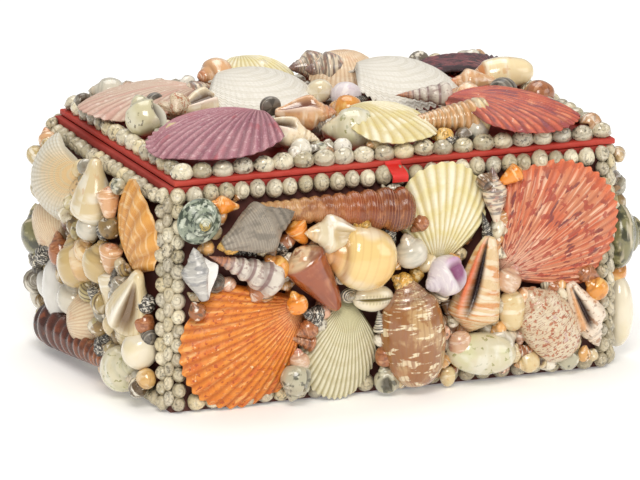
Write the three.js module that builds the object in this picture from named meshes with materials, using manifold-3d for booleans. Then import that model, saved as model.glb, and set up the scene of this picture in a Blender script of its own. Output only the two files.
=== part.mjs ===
// A cloth-covered keepsake box with a lid hinged on cloth, crusted all over with real sea shells.
// Millimetres, +X along the front, +Y to the back, +Z up. The origin is the middle of the underside.
import * as THREE from "three";
import { mergeVertices } from "three/addons/utils/BufferGeometryUtils.js";
import Module from "manifold-3d";

const wasm = await Module();
wasm.setup();

// Board box, open at the top
const boxWidth = 254;
const boxDepth = 175;
const boxHeight = 124;
const wall = 4;
const floor = 4;
const cornerRadius = 3;

// Lid board. It sits a little to the right, so that the rim shows on the left.
const lidThickness = 3.2;
const lidWidth = 256;
const lidShift = 4;
const seam = 0.3;

// Glue line between a shell and what carries it, and the least air between two shells
const glue = 0.3;

// A shell that is lifted more than this off its face stands on a wad of glue, this share of its own size
const propAbove = 1.5;
const propShare = 0.3;

// Cloth hinge on the back wall and the ribbon that pulls the lid open
const clothThickness = 0.8;
const hingeDrop = 10;
const hingeInset = 14;
const ribbonWidth = 9;
const ribbonThickness = 0.8;
const ribbonPlace = 1.5;
const ribbonDrop = 8;

// Button shells edge every face. The size is across one shell, the crest its height off the face.
const button = { pitch: 9.2, across: 9.5, crest: 7.2 };
const footButton = { pitch: 10, across: 10, crest: 7.2 };
const cornerButton = { pitch: 8.3, across: 8.6, crest: 6.8 };
const lidButton = { pitch: 11.7, across: 9.5, crest: 8.2 };
const edgeMargin = 0.6;

// On the right and at the back, which face a wall, the buttons stand wider apart.
const hiddenSpread = 1.4;
const spreadOut = (shells) => ({ ...shells, pitch: shells.pitch * hiddenSpread });

const latheSides = 7;
const fanHalfAngle = THREE.MathUtils.degToRad(50);
const fanRings = [0.35, 0.7, 1];

const lidBottom = boxHeight + seam;
const lidTop = lidBottom + lidThickness;
const rad = THREE.MathUtils.degToRad;

// A closed solid from a three.js geometry, with its faces turned outwards.
function solidOf(geometry) {
  const bare = geometry.clone();
  for (const name of ["normal", "uv"]) bare.deleteAttribute(name);
  const merged = mergeVertices(bare, 1e-4);
  const corners = [];
  for (let i = 0; i < merged.index.count; i += 3) {
    const [a, b, c] = [0, 1, 2].map((k) => merged.index.getX(i + k));
    if (a !== b && b !== c && a !== c) corners.push([a, b, c]);
  }
  const made = (turned) =>
    new wasm.Manifold(
      new wasm.Mesh({
        numProp: 3,
        vertProperties: merged.attributes.position.array,
        triVerts: new Uint32Array(corners.flatMap(([a, b, c]) => (turned ? [a, c, b] : [a, b, c]))),
      }),
    );
  const solid = made(false);
  return solid.volume() < 0 ? made(true) : solid;
}

function geometryOf(solid) {
  const mesh = solid.getMesh();
  const geometry = new THREE.BufferGeometry();
  geometry.setAttribute("position", new THREE.BufferAttribute(new Float32Array(mesh.vertProperties), 3));
  geometry.setIndex(new THREE.BufferAttribute(new Uint32Array(mesh.triVerts), 1));
  geometry.computeVertexNormals();
  return geometry;
}

const biggestPart = (solid) =>
  solid.decompose().reduce((best, part) => (part.volume() > best.volume() ? part : best));

function roundedSlab(width, depth, radius, height) {
  const [x, y] = [width / 2, depth / 2];
  const outline = new THREE.Shape();
  outline.moveTo(-x + radius, -y);
  outline.absarc(x - radius, -y + radius, radius, rad(-90), 0);
  outline.absarc(x - radius, y - radius, radius, 0, rad(90));
  outline.absarc(-x + radius, y - radius, radius, rad(90), rad(180));
  outline.absarc(-x + radius, -y + radius, radius, rad(180), rad(270));
  return new THREE.ExtrudeGeometry(outline, { depth: height, bevelEnabled: false, curveSegments: 1 });
}

function boxBody() {
  const outside = solidOf(roundedSlab(boxWidth, boxDepth, cornerRadius, boxHeight));
  const room = new THREE.BoxGeometry(boxWidth - 2 * wall, boxDepth - 2 * wall, boxHeight);
  room.translate(0, 0, floor + boxHeight / 2);
  return geometryOf(outside.subtract(solidOf(room)));
}

const lidBoard = () => roundedSlab(lidWidth, boxDepth, cornerRadius, lidThickness);

// A strip of ribbon or cloth that follows points of its own cross-section, [out from the face, up].
function ribbonStrip(points, width, thickness) {
  const path = points.map(([out, up]) => new THREE.Vector2(out, up));
  const sides = path.map((point, i) => {
    const along = path[Math.min(i + 1, path.length - 1)].clone().sub(path[Math.max(i - 1, 0)]).normalize();
    const across = new THREE.Vector2(-along.y, along.x).multiplyScalar(thickness / 2);
    return [point.clone().add(across), point.clone().sub(across)];
  });
  const outline = new THREE.Shape([...sides.map((s) => s[0]), ...sides.map((s) => s[1]).reverse()]);
  const strip = new THREE.ExtrudeGeometry(outline, { depth: width, bevelEnabled: false });
  return strip.translate(0, 0, -width / 2);
}

// Skins a row of cross-sections, each a ring of [x, y, z] points, and closes both ends.
function skin(sections) {
  const flat = sections[0].map(sectionPlane(sections[0]));
  const rings = THREE.ShapeUtils.isClockWise(flat) ? sections.map((ring) => [...ring].reverse()) : sections;
  const count = flat.length;
  const faces = [];
  for (let r = 0; r + 1 < rings.length; r += 1) {
    for (let i = 0; i < count; i += 1) {
      const [a, b] = [r * count + i, r * count + ((i + 1) % count)];
      faces.push(a, b, a + count, b, b + count, a + count);
    }
  }
  const last = (rings.length - 1) * count;
  const end = THREE.ShapeUtils.triangulateShape(rings[0].map(sectionPlane(rings[0])), []);
  for (const [a, b, c] of end) faces.push(a, c, b, last + a, last + b, last + c);
  const geometry = new THREE.BufferGeometry();
  geometry.setAttribute("position", new THREE.Float32BufferAttribute(rings.flat(2), 3));
  geometry.setIndex(faces);
  return geometryOf(solidOf(geometry));
}

// Gives a section's points in its own plane, which is square either to x or to z.
function sectionPlane(ring) {
  const squareToX = ring.every(([x]) => Math.abs(x - ring[0][0]) < 1e-6);
  return ([x, y, z]) => (squareToX ? new THREE.Vector2(y, z) : new THREE.Vector2(x, y));
}

// Places along a row where two buttons touch and where a button is widest, as [place, swell from 0 to 1].
function buttonStations(length, pitch) {
  const count = Math.max(2, Math.round(length / pitch));
  const step = length / count;
  const stations = [];
  for (let i = 0; i < count; i += 1) {
    const start = -length / 2 + i * step;
    stations.push([start + 0.02 * step, 0], [start + step / 2, 1]);
  }
  stations.push([length / 2 - 0.02 * step, 0]);
  return stations;
}

// A row of button shells flat on a face: along x, from y = 0 up to their size across, z off the face.
function buttonRow(length, { pitch, across, crest }) {
  const rings = buttonStations(length, pitch).map(([x, swell]) => {
    const inset = 1.4 * (1 - swell);
    const top = crest * (0.5 + 0.5 * swell);
    return [[x, inset, 0], [x, across / 2, top], [x, across - inset, 0]];
  });
  return skin(rings);
}

// The same row leaning outwards on the edge of the lid: y = 0 is the edge, and y runs inwards.
function leaningRow(length, { pitch, across, crest }) {
  const rings = buttonStations(length, pitch).map(([x, swell]) => {
    const inset = 1.2 * (1 - swell);
    const top = crest * (0.6 + 0.4 * swell);
    return [
      [x, inset, 0],
      [x, inset + across * 0.2, top * 0.72],
      [x, across * 0.72, top],
      [x, across - inset, 0],
    ];
  });
  return skin(rings);
}

// Two columns of buttons that meet at an upright corner of the box. x and y run along the two faces.
function buttonCorner(height, { pitch, across, crest }) {
  const rings = buttonStations(height, pitch).map(([z, swell]) => {
    const width = across - 1.2 * (1 - swell);
    const top = glue + crest * (0.5 + 0.5 * swell);
    const middle = top * 0.45;
    const section = [[-glue, -glue], [width, -glue], [middle, -top], [-top, middle], [-glue, width]];
    return section.map(([x, y]) => [x, y, z]);
  });
  return skin(rings);
}

// A fluted valve, such as a scallop or cockle, lying on its rim. The umbo is at -y and the fan opens to +y.
function valve({ long, wide, dome, ribs, flute = 1.4, rim = 1.2 }) {
  const sectors = 2 * ribs;
  const heightAt = (x, y, share, sign) => {
    const across = x / (wide * 0.52);
    const along = (y + 0.1 * long * (1 - (2 * y) / long) * (1 + (2 * y) / long)) / (long * 0.52);
    const swell = Math.max(0, 1 - across * across - along * along);
    return rim + dome * swell ** 0.6 + sign * 0.5 * flute * share;
  };
  const umbo = [0, -long / 2];
  const fan = (share, sector) => {
    const angle = -fanHalfAngle + (2 * fanHalfAngle * sector) / sectors;
    const sign = sector % 2 ? 1 : -1;
    const reach = long * Math.cos(angle) * share * (1 + 0.008 * sign * share);
    return [(reach * Math.sin(angle) * wide) / long, umbo[1] + reach * Math.cos(angle), sign];
  };
  const positions = [[...umbo, rim], [...umbo, 0]];
  const faces = [];
  const at = (ring, sector) => 2 + ring * (sectors + 1) + sector;
  for (const share of fanRings) {
    for (let sector = 0; sector <= sectors; sector += 1) {
      const [x, y, sign] = fan(share, sector);
      positions.push([x, y, Math.max(rim, heightAt(x, y, share, sign))]);
    }
  }
  const foot = fanRings.length;
  for (let sector = 0; sector <= sectors; sector += 1) {
    const [x, y] = fan(1, sector);
    positions.push([x, y, 0]);
  }
  for (let sector = 0; sector < sectors; sector += 1) {
    faces.push([0, at(0, sector + 1), at(0, sector)], [1, at(foot, sector), at(foot, sector + 1)]);
    for (let ring = 0; ring < foot; ring += 1) {
      const [a, b] = [at(ring, sector), at(ring, sector + 1)];
      const [c, d] = [at(ring + 1, sector), at(ring + 1, sector + 1)];
      faces.push([a, b, c], [b, d, c]);
    }
  }
  for (const [sector, turned] of [[0, false], [sectors, true]]) {
    const edge = [0, ...fanRings.map((_, ring) => at(ring, sector)), at(foot, sector)];
    for (let i = 0; i + 1 < edge.length; i += 1) {
      faces.push(turned ? [1, edge[i + 1], edge[i]] : [1, edge[i], edge[i + 1]]);
    }
  }
  const geometry = new THREE.BufferGeometry();
  geometry.setAttribute("position", new THREE.Float32BufferAttribute(positions.flat(), 3));
  geometry.setIndex(faces.flat());
  return geometryOf(solidOf(geometry));
}

// Outlines of coiled shells, as [share of the radius, share of the length], from the mouth end to the apex.
const outlines = {
  cone: () => [[0.2, 0.01], [0.66, 0.36], [0.98, 0.76], [1, 0.82], [0.72, 0.88], [0.28, 0.96]],
  snail: () => [[0.5, 0.03], [0.88, 0.18], [1, 0.4], [0.9, 0.6], [0.5, 0.76], [0.3, 0.9]],
  conch: () => [[0.2, 0.01], [0.42, 0.16], [0.86, 0.42], [1, 0.58], [0.62, 0.7], [0.52, 0.76], [0.28, 0.9]],
  olive: () => [[0.4, 0.02], [0.82, 0.18], [1, 0.48], [0.84, 0.76], [0.42, 0.9], [0.26, 0.95]],
  turban: () => [[0.8, 0.05], [1, 0.28], [0.88, 0.46], [0.6, 0.6], [0.54, 0.66], [0.26, 0.88]],
  egg: () => [[0.45, 0.06], [0.85, 0.25], [1, 0.5], [0.85, 0.75], [0.45, 0.94]],
  spire: (whorls) => {
    const points = [[0.5, 0.02]];
    for (let i = 0; i < whorls; i += 1) {
      const belly = 0.1 + (0.9 * i) / whorls;
      const size = 1 - (i / whorls) ** 1.1 * 0.94;
      points.push([size, belly], [size * 0.84, belly + 0.5 / whorls]);
    }
    return points;
  },
};

// A coiled shell, turned about its own axis y with the apex at +y, and its mouth, if any, hollowed at +z.
function coiled({ outline, long, wide, deep = wide, whorls = 5, mouth }) {
  const inner = outlines[outline](whorls);
  const points = [[0, 0], ...inner, [0, 1]];
  const profile = points.map(([r, y]) => new THREE.Vector2((r * wide) / 2, (y - 0.5) * long));
  const body = new THREE.LatheGeometry(profile, latheSides, rad(180 / latheSides));
  body.scale(1, 1, deep / wide);
  const solid = solidOf(body);
  if (!mouth) return geometryOf(solid);
  const hollow = new THREE.SphereGeometry(1, 6, 4);
  hollow.scale((mouth.wide * wide) / 2, (mouth.long * long) / 2, deep * 0.3);
  hollow.rotateZ(rad(mouth.slant ?? 0));
  hollow.translate((mouth.side ?? 0) * wide, (mouth.along ?? -0.08) * long, deep * 0.46);
  return geometryOf(solid.subtract(solidOf(hollow)));
}

// What each shell is made like
const forms = {
  scallop: (s) => valve({ ribs: 7, dome: s.deep, ...s }),
  cockle: (s) => valve({ ribs: 7, dome: s.deep, flute: 0.9, ...s }),
  auger: (s) => coiled({ outline: "spire", ...s, whorls: 6 }),
  tower: (s) => coiled({ outline: "spire", ...s, whorls: 4 }),
  cowrie: (s) => coiled({ outline: "egg", ...s, mouth: { wide: 0.22, long: 1.5, along: 0 } }),
  cone: (s) => coiled({ outline: "cone", ...s }),
  snail: (s) => coiled({ outline: "snail", ...s }),
  conch: (s) => coiled({ outline: "conch", ...s }),
  olive: (s) => coiled({ outline: "olive", ...s }),
  turban: (s) => coiled({ outline: "turban", ...s }),
};

// A shell to lay on a face. at is its middle as shares of the face: across from its middle, and up from its
// foot. turn swings the apex or the open fan from straight up to the left, lean lifts that end off the face.
const shell = (name, form, colour, at, shape) => ({ name, form, colour, at, ...shape });

const frontShells = [
  shell("front_orange_scallop", "scallop", "#e88a2c", [-0.333, 0.283], {
    long: 75, wide: 66, deep: 11, turn: 118, lean: 5.5,
  }),
  shell("front_white_fan", "scallop", "#e6dfc0", [-0.118, 0.222], {
    long: 54, wide: 43, deep: 9, turn: 172, lean: 8,
  }),
  shell("front_yellow_scallop", "scallop", "#efe6b4", [0.114, 0.79], {
    long: 58, wide: 47, deep: 9, turn: -5, lean: 8.5,
  }),
  shell("front_red_scallop", "scallop", "#d9694f", [0.362, 0.668], {
    long: 78, wide: 74, deep: 12, turn: -53, lean: 6,
  }),
  shell("front_auger", "auger", "#b96a3a", [-0.166, 0.862], {
    long: 100, wide: 24, turn: 87, lift: 2, lean: -5,
  }),
  shell("front_brown_volute", "olive", "#b98552", [0.028, 0.285], {
    long: 61, wide: 37, deep: 30, turn: 6,
  }),
  shell("front_cream_snail", "snail", "#e8c078", [-0.106, 0.655], {
    long: 45, wide: 36, deep: 31, turn: 76, lift: 1,
  }),
  shell("front_brown_cone", "cone", "#a8664a", [-0.19, 0.568], {
    long: 46, wide: 25, deep: 22, turn: 35, lift: 5, lean: 6,
  }),
  shell("front_red_mouth_conch", "cone", "#d98a5e", [0.186, 0.46], {
    long: 55, wide: 28, deep: 22, turn: 168, lift: 1,
    mouth: { wide: 0.42, long: 0.7, side: -0.14, along: 0.02, slant: 10 },
  }),
  shell("front_white_bubble", "snail", "#e5e2cf", [0.19, 0.158], {
    long: 38, wide: 26, deep: 22, turn: -95, lift: 1,
  }),
  shell("front_speckled_volute", "olive", "#dcc4a8", [0.343, 0.255], {
    long: 47, wide: 31, deep: 22, turn: 31, lift: 1,
  }),
  shell("front_small_conch", "conch", "#c9a98c", [0.432, 0.27], {
    long: 42, wide: 23, deep: 18, turn: -155, lift: 1, mouth: { wide: 0.36, long: 0.5, side: -0.1, along: 0 },
  }),
  shell("front_grey_whelk", "conch", "#9a9088", [-0.325, 0.825], {
    long: 42, wide: 25, deep: 22, turn: -70, lift: 5,
  }),
  shell("front_green_turban", "turban", "#8f9a86", [-0.452, 0.87], {
    long: 16, wide: 25, standing: true, lift: 7.5,
  }),
  shell("front_striped_spire", "tower", "#c6b09c", [-0.352, 0.642], {
    long: 46, wide: 20, turn: 66, lift: 4,
  }),
  shell("front_cowrie", "cowrie", "#ece0bd", [-0.06, 0.452], {
    long: 24, wide: 13.5, deep: 12, turn: 88, lift: 7,
  }),
];

const leftShells = [
  shell("left_white_cockle", "cockle", "#e4e0d2", [-0.285, 0.8], {
    long: 44, wide: 47, deep: 16, turn: -4, lift: 3, lean: 8,
  }),
  shell("left_gold_scallop", "scallop", "#eaa53f", [0.33, 0.76], {
    long: 55, wide: 50, deep: 10, turn: -30, lean: 8,
  }),
  shell("left_pale_whelk", "conch", "#e2cfa6", [0.04, 0.81], {
    long: 44, wide: 25, deep: 22, turn: 172, lift: 1,
  }),
  shell("left_brown_auger", "auger", "#7d3f24", [-0.09, 0.115], {
    long: 96, wide: 22, turn: -94, lift: 0.5,
  }),
  shell("left_cream_whelk", "conch", "#e0cba0", [0.4, 0.45], {
    long: 50, wide: 27, deep: 24, turn: 146, lift: 2,
  }),
  shell("left_ribbed_clam", "cockle", "#e6c6a4", [-0.02, 0.23], {
    long: 34, wide: 31, deep: 12, turn: -70, lift: 9,
  }),
  shell("left_white_cowrie", "cowrie", "#e9e7e2", [-0.275, 0.3], {
    long: 34, wide: 18, deep: 15, turn: 12, lift: 5,
  }),
  shell("left_brown_snail", "snail", "#d8ab68", [-0.035, 0.53], {
    long: 30, wide: 26, deep: 22, turn: 20, lift: 1,
  }),
];

const rightShells = [
  shell("right_green_turban", "turban", "#6f7452", [-0.37, 0.6], {
    long: 27, wide: 38, standing: true, lift: 2,
  }),
  shell("right_cowrie", "cowrie", "#efe6cf", [-0.37, 0.18], {
    long: 42, wide: 24, deep: 17, turn: 3, lift: 1,
  }),
  shell("right_plum_scallop", "scallop", "#b3717c", [0.13, 0.58], {
    long: 76, wide: 72, deep: 12, turn: -18, lean: 4,
  }),
];

const backShells = [
  shell("back_orange_scallop", "scallop", "#e09246", [-0.29, 0.56], {
    long: 76, wide: 72, deep: 12, turn: 35, lean: 5,
  }),
  shell("back_white_scallop", "scallop", "#e8e2d4", [0.3, 0.57], {
    long: 74, wide: 70, deep: 11, turn: -30, lean: 5,
  }),
  shell("back_auger", "auger", "#a9683f", [0.02, 0.2], {
    long: 96, wide: 24, turn: 90, lift: 1,
  }),
];

// The lid's scallops lean outwards like tiles, umbo high and rim over the button row.
const lidShells = [
  shell("lid_pink_scallop", "scallop", "#e3c3b4", [-0.385, 0.71], {
    long: 70, wide: 66, deep: 9, turn: 88, lean: -4, lift: 8.5,
  }),
  shell("lid_dark_scallop", "scallop", "#5b3b42", [0.366, 0.775], {
    long: 56, wide: 52, deep: 8, turn: 18, lean: -3, lift: 8.5,
  }),
  shell("lid_white_scallop", "scallop", "#e9e6df", [-0.14, 0.597], {
    long: 68, wide: 62, deep: 12, turn: -120, lean: -5, lift: 8.5,
  }),
  shell("lid_ivory_scallop", "scallop", "#e8e4dc", [0.16, 0.53], {
    long: 68, wide: 58, deep: 12, turn: -86, lean: -5, lift: 11,
  }),
  shell("lid_purple_scallop", "scallop", "#a8707f", [-0.352, 0.15], {
    long: 71, wide: 72, deep: 11, turn: 138, lean: -8, lift: 8.5,
  }),
  shell("lid_yellow_scallop", "scallop", "#eee3b3", [0.018, 0.142], {
    long: 54, wide: 54, deep: 9, turn: -150, lean: -9, lift: 8.5,
  }),
  shell("lid_red_scallop", "scallop", "#cf6550", [0.297, 0.15], {
    long: 70, wide: 76, deep: 9.5, turn: -133, lean: -6, lift: 8.5,
  }),
  shell("lid_olive", "olive", "#ecc48b", [0.398, 0.546], {
    long: 34, wide: 17, turn: 84, lift: 8,
  }),
  shell("lid_open_conch", "conch", "#dcc6a4", [-0.203, 0.157], {
    long: 36, wide: 19, deep: 16, turn: -110, lean: -16, lift: 8, mouth: { wide: 0.4, long: 0.5, along: -0.1 },
  }),
  shell("lid_top_conch", "conch", "#bfa493", [0.05, 0.72], {
    long: 30, wide: 21, deep: 19, turn: 80, lift: 11,
  }),
];

// A face is a group whose x runs to the right, y up and z out, as someone looking straight at it sees it.
function faceGroup(name, width, height, place, turns) {
  const group = new THREE.Group();
  group.name = name;
  group.rotation.set(...turns, "ZYX");
  group.position.set(...place);
  group.userData = { width, height };
  return group;
}

const upright = rad(90);
const faces = {
  front: faceGroup("front", boxWidth, boxHeight, [0, -boxDepth / 2, 0], [upright, 0, 0]),
  right: faceGroup("right", boxDepth, boxHeight, [boxWidth / 2, 0, 0], [upright, 0, rad(90)]),
  back: faceGroup("back", boxWidth, boxHeight, [0, boxDepth / 2, 0], [upright, 0, rad(180)]),
  left: faceGroup("left", boxDepth, boxHeight, [-boxWidth / 2, 0, 0], [upright, 0, rad(-90)]),
};
const lidGroup = faceGroup("lid", lidWidth, boxDepth, [lidShift, 0, lidTop], [0, 0, 0]);

function cloth(name, geometry, colour) {
  const mesh = new THREE.Mesh(geometry, new THREE.MeshStandardMaterial({ color: colour, roughness: 0.85 }));
  mesh.name = name;
  return mesh;
}

function shellMesh(name, geometry, colour) {
  const mesh = new THREE.Mesh(geometry, new THREE.MeshStandardMaterial({ color: colour, roughness: 0.35 }));
  mesh.name = name;
  return mesh;
}

// Lays one shell on a face. Its lowest point ends a glue line, and any lift, above the face.
function layShell(group, laying) {
  const { width, height } = group.userData;
  const geometry = forms[laying.form](laying);
  if (laying.standing) geometry.rotateX(upright);
  geometry.rotateX(rad(laying.lean ?? 0));
  geometry.computeBoundingBox();
  const mesh = shellMesh(laying.name, geometry, laying.colour);
  mesh.rotation.z = rad(laying.turn ?? 0);
  const foot = group === lidGroup ? -height / 2 : 0;
  const off = glue + (laying.lift ?? 0) - geometry.boundingBox.min.z;
  mesh.position.set(laying.at[0] * width, laying.at[1] * height + foot, off);
  group.add(mesh);
  if ((laying.lift ?? 0) > propAbove) {
    const side = propShare * Math.min(laying.long, laying.wide);
    const prop = new THREE.BoxGeometry(side, side, off - glue + 1);
    mesh.userData.prop = prop.translate(0, 0, (1 - off + glue) / 2);
  }
  return mesh;
}

// Rows of buttons along the head and foot of an upright face, between its corners.
function edgeFace(group, name, standoff) {
  const { width, height } = group.userData;
  const length = width - 2 * (cornerButton.across + glue);
  const hidden = name === "back" || name === "right";
  const [top, bottom] = hidden ? [button, footButton].map(spreadOut) : [button, footButton];
  const head = shellMesh(`${name}_top_buttons`, buttonRow(length, top), "#b9b0a2");
  head.position.set(0, height - edgeMargin - button.across, glue + standoff);
  const foot = shellMesh(`${name}_foot_buttons`, buttonRow(length, bottom), "#b3a996");
  foot.position.set(0, edgeMargin, glue);
  group.add(head, foot);
  return [head, foot];
}

function edgeCorner(name, place, turn) {
  const height = boxHeight - 2 * edgeMargin;
  const column = name === "back_right" ? spreadOut(cornerButton) : cornerButton;
  const mesh = shellMesh(`${name}_corner_buttons`, buttonCorner(height, column), "#b5ac9b");
  mesh.position.set(place[0] * (boxWidth / 2), place[1] * (boxDepth / 2), boxHeight / 2);
  mesh.rotation.z = rad(turn);
  return mesh;
}

// Leaning rows on the four edges of the lid. The long rows run the whole width, the short ones between them.
function edgeLid() {
  const { width, height } = lidGroup.userData;
  const long = width - 2 * edgeMargin;
  const short = height - 2 * (edgeMargin + lidButton.across + glue);
  const rows = [
    ["lid_front_buttons", long, [0, -height / 2 + edgeMargin], 0],
    ["lid_right_buttons", short, [width / 2 - edgeMargin, 0], 90],
    ["lid_back_buttons", long, [0, height / 2 - edgeMargin - clothThickness], 180],
    ["lid_left_buttons", short, [-width / 2 + edgeMargin, 0], -90],
  ];
  return rows.map(([name, length, [x, y], turn]) => {
    const mesh = shellMesh(name, leaningRow(length, lidButton), "#b7b0a4");
    mesh.position.set(x, y, glue);
    mesh.rotation.z = rad(turn);
    lidGroup.add(mesh);
    return mesh;
  });
}

const part = new THREE.Group();
part.name = "shell_box";

const body = cloth("box_body", boxBody(), "#a32018");
const board = cloth("lid_board", lidBoard(), "#b8392c");
board.position.set(lidShift, 0, lidBottom);

const hingeWidth = boxWidth - 2 * hingeInset;
const hingeOut = glue + clothThickness / 2;
const hingePath = [[hingeOut, boxHeight - hingeDrop], [hingeOut, boxHeight - glue]];
const hinge = cloth("hinge_cloth", ribbonStrip(hingePath, hingeWidth, clothThickness), "#a8261c");
hinge.rotation.set(0, rad(-90), 0);
faces.back.add(hinge);

// The ribbon starts on the front edge of the lid, passes over the top buttons and hangs in front of them.
const ribbonOut = glue + ribbonThickness / 2;
const overButtons = glue + button.crest + ribbonThickness;
const ribbonPath = [
  [ribbonOut, lidTop - glue],
  [ribbonOut + 0.5, lidBottom + 1.3],
  [ribbonOut + overButtons * 0.5, lidBottom + 0.5],
  [ribbonOut + overButtons * 0.92, lidBottom - 2.2],
  [ribbonOut + overButtons * 1.04, lidBottom - ribbonDrop * 0.55],
  [ribbonOut + overButtons, lidBottom - ribbonDrop],
];
const ribbon = cloth("pull_ribbon", ribbonStrip(ribbonPath, ribbonWidth, ribbonThickness), "#e03426");
ribbon.rotation.set(0, rad(-90), 0);
ribbon.position.set(ribbonPlace, 0, 0);
faces.front.add(ribbon);

part.add(body, board, ...Object.values(faces), lidGroup);

const laid = [];
for (const [name, group] of Object.entries(faces)) {
  laid.push(...edgeFace(group, name, name === "back" ? clothThickness + glue : 0));
}
const corners = [
  ["front_left", [-1, -1], 0],
  ["front_right", [1, -1], 90],
  ["back_right", [1, 1], 180],
  ["back_left", [-1, 1], 270],
];
for (const [name, place, turn] of corners) {
  const mesh = edgeCorner(name, place, turn);
  part.add(mesh);
  laid.push(mesh);
}
laid.push(...edgeLid());
const layouts = [
  [faces.front, frontShells],
  [faces.left, leftShells],
  [faces.right, rightShells],
  [faces.back, backShells],
  [lidGroup, lidShells],
];
for (const [group, shells] of layouts) {
  for (const laying of shells) laid.push(layShell(group, laying));
}

// Where a shell lies over its neighbours, they are cut back to leave a thin gap round its hull.
function fitShells(meshes, fixed) {
  part.updateMatrixWorld(true);
  const worldSolid = (mesh) => solidOf(mesh.geometry.clone().applyMatrix4(mesh.matrixWorld));
  const grown = (solid) => {
    const { min, max } = solid.boundingBox();
    const scale = min.map((low, i) => 1 + (2 * glue) / (max[i] - low));
    const middle = min.map((low, i) => (low + max[i]) / 2);
    return solid
      .hull()
      .translate(middle.map((m) => -m))
      .scale(scale)
      .translate(middle);
  };
  const touches = (a, b) => {
    const [p, q] = [a.boundingBox(), b.boundingBox()];
    return p.min.every((low, i) => low < q.max[i] && q.min[i] < p.max[i]);
  };
  const solids = meshes.map(worldSolid);
  const cutters = solids.map(grown);
  const fixedCutters = fixed.map(worldSolid).map(grown);
  const trimmed = (solid, over) => {
    let left = solid;
    for (const cutter of over) {
      const meet = touches(left, cutter) && left.intersect(cutter).volume() > 0;
      if (meet) left = biggestPart(left.subtract(cutter));
    }
    return left;
  };
  solids.forEach((solid, i) => {
    const mesh = meshes[i];
    let left = trimmed(solid, [...fixedCutters, ...cutters.slice(i + 1)]);
    if (mesh.userData.prop) {
      const prop = solidOf(mesh.userData.prop.clone().applyMatrix4(mesh.matrixWorld));
      const others = cutters.filter((_, k) => k !== i);
      left = biggestPart(left.add(trimmed(prop, [...fixedCutters, ...others])));
    }
    if (left === solid) return;
    mesh.geometry = geometryOf(left).applyMatrix4(mesh.matrixWorld.clone().invert());
  });
}

fitShells(laid, [ribbon, hinge, board, body]);

export default part;
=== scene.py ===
"""The finished looks of a keepsake box that is crusted all over with sea shells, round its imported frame."""
import logging
import math
from collections.abc import Callable, Iterable
from dataclasses import dataclass, field, replace
from enum import Enum

import bmesh
import bpy
import numpy as np
from mathutils import Matrix, Vector


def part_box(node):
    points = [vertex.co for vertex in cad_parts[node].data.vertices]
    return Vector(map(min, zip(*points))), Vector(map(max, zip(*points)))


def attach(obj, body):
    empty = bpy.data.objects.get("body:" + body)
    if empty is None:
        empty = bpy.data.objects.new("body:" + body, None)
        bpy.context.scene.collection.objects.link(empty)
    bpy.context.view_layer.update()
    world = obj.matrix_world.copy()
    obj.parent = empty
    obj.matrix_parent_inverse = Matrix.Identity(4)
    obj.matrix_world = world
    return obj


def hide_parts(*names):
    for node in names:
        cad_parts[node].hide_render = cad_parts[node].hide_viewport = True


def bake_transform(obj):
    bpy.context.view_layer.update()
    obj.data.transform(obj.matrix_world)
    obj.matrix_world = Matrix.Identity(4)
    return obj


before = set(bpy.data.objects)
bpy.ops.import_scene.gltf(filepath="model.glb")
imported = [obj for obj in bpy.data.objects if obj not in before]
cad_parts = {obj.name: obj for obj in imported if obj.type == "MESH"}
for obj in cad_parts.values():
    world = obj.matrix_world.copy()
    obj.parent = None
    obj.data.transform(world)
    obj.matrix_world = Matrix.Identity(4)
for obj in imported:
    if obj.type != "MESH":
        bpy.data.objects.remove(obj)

log = logging.getLogger("shell_box")

MM = 0.001
GLUE = 0.3 * MM
SEED = 7
TURN = 2 * math.pi

Array = np.ndarray
Socket = bpy.types.NodeSocket
Place = Callable[[Array, Array], tuple[Array, Array]]


class Side(Enum):
    """The flat sides that carry shells, with the body that each one moves with."""

    FRONT = "front"
    RIGHT = "right"
    BACK = "back"
    LEFT = "left"
    LID = "lid"

    @property
    def body(self) -> str:
        """The CAD body of this side."""
        return "lid" if self is Side.LID else "box"


class Form(Enum):
    """What a shell is shaped like."""

    VALVE = "valve"
    AUGER = "auger"
    TOWER = "tower"
    CONE = "cone"
    SNAIL = "snail"
    CONCH = "conch"
    OLIVE = "olive"
    TURBAN = "turban"
    COWRIE = "cowrie"
    EGG = "egg"


def linear(colour: str) -> tuple[float, float, float, float]:
    """Turns a #rrggbb colour into the linear numbers that shaders take.

    Args:
        colour: The colour as a designer writes it.

    Returns:
        Red, green, blue and full opacity.
    """
    shares = [int(colour[i:i + 2], 16) / 255 for i in (1, 3, 5)]
    lit = [c / 12.92 if c <= 0.04045 else ((c + 0.055) / 1.055) ** 2.4 for c in shares]
    return (*lit, 1.0)


def smoothstep(value: Array, low: float, high: float) -> Array:
    """Rises smoothly from 0 at low to 1 at high.

    Args:
        value: The values to grade.
        low: Where the rise starts.
        high: Where it ends.

    Returns:
        The graded values.
    """
    t = np.clip((value - low) / (high - low), 0.0, 1.0)
    return t * t * (3 - 2 * t)


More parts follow.
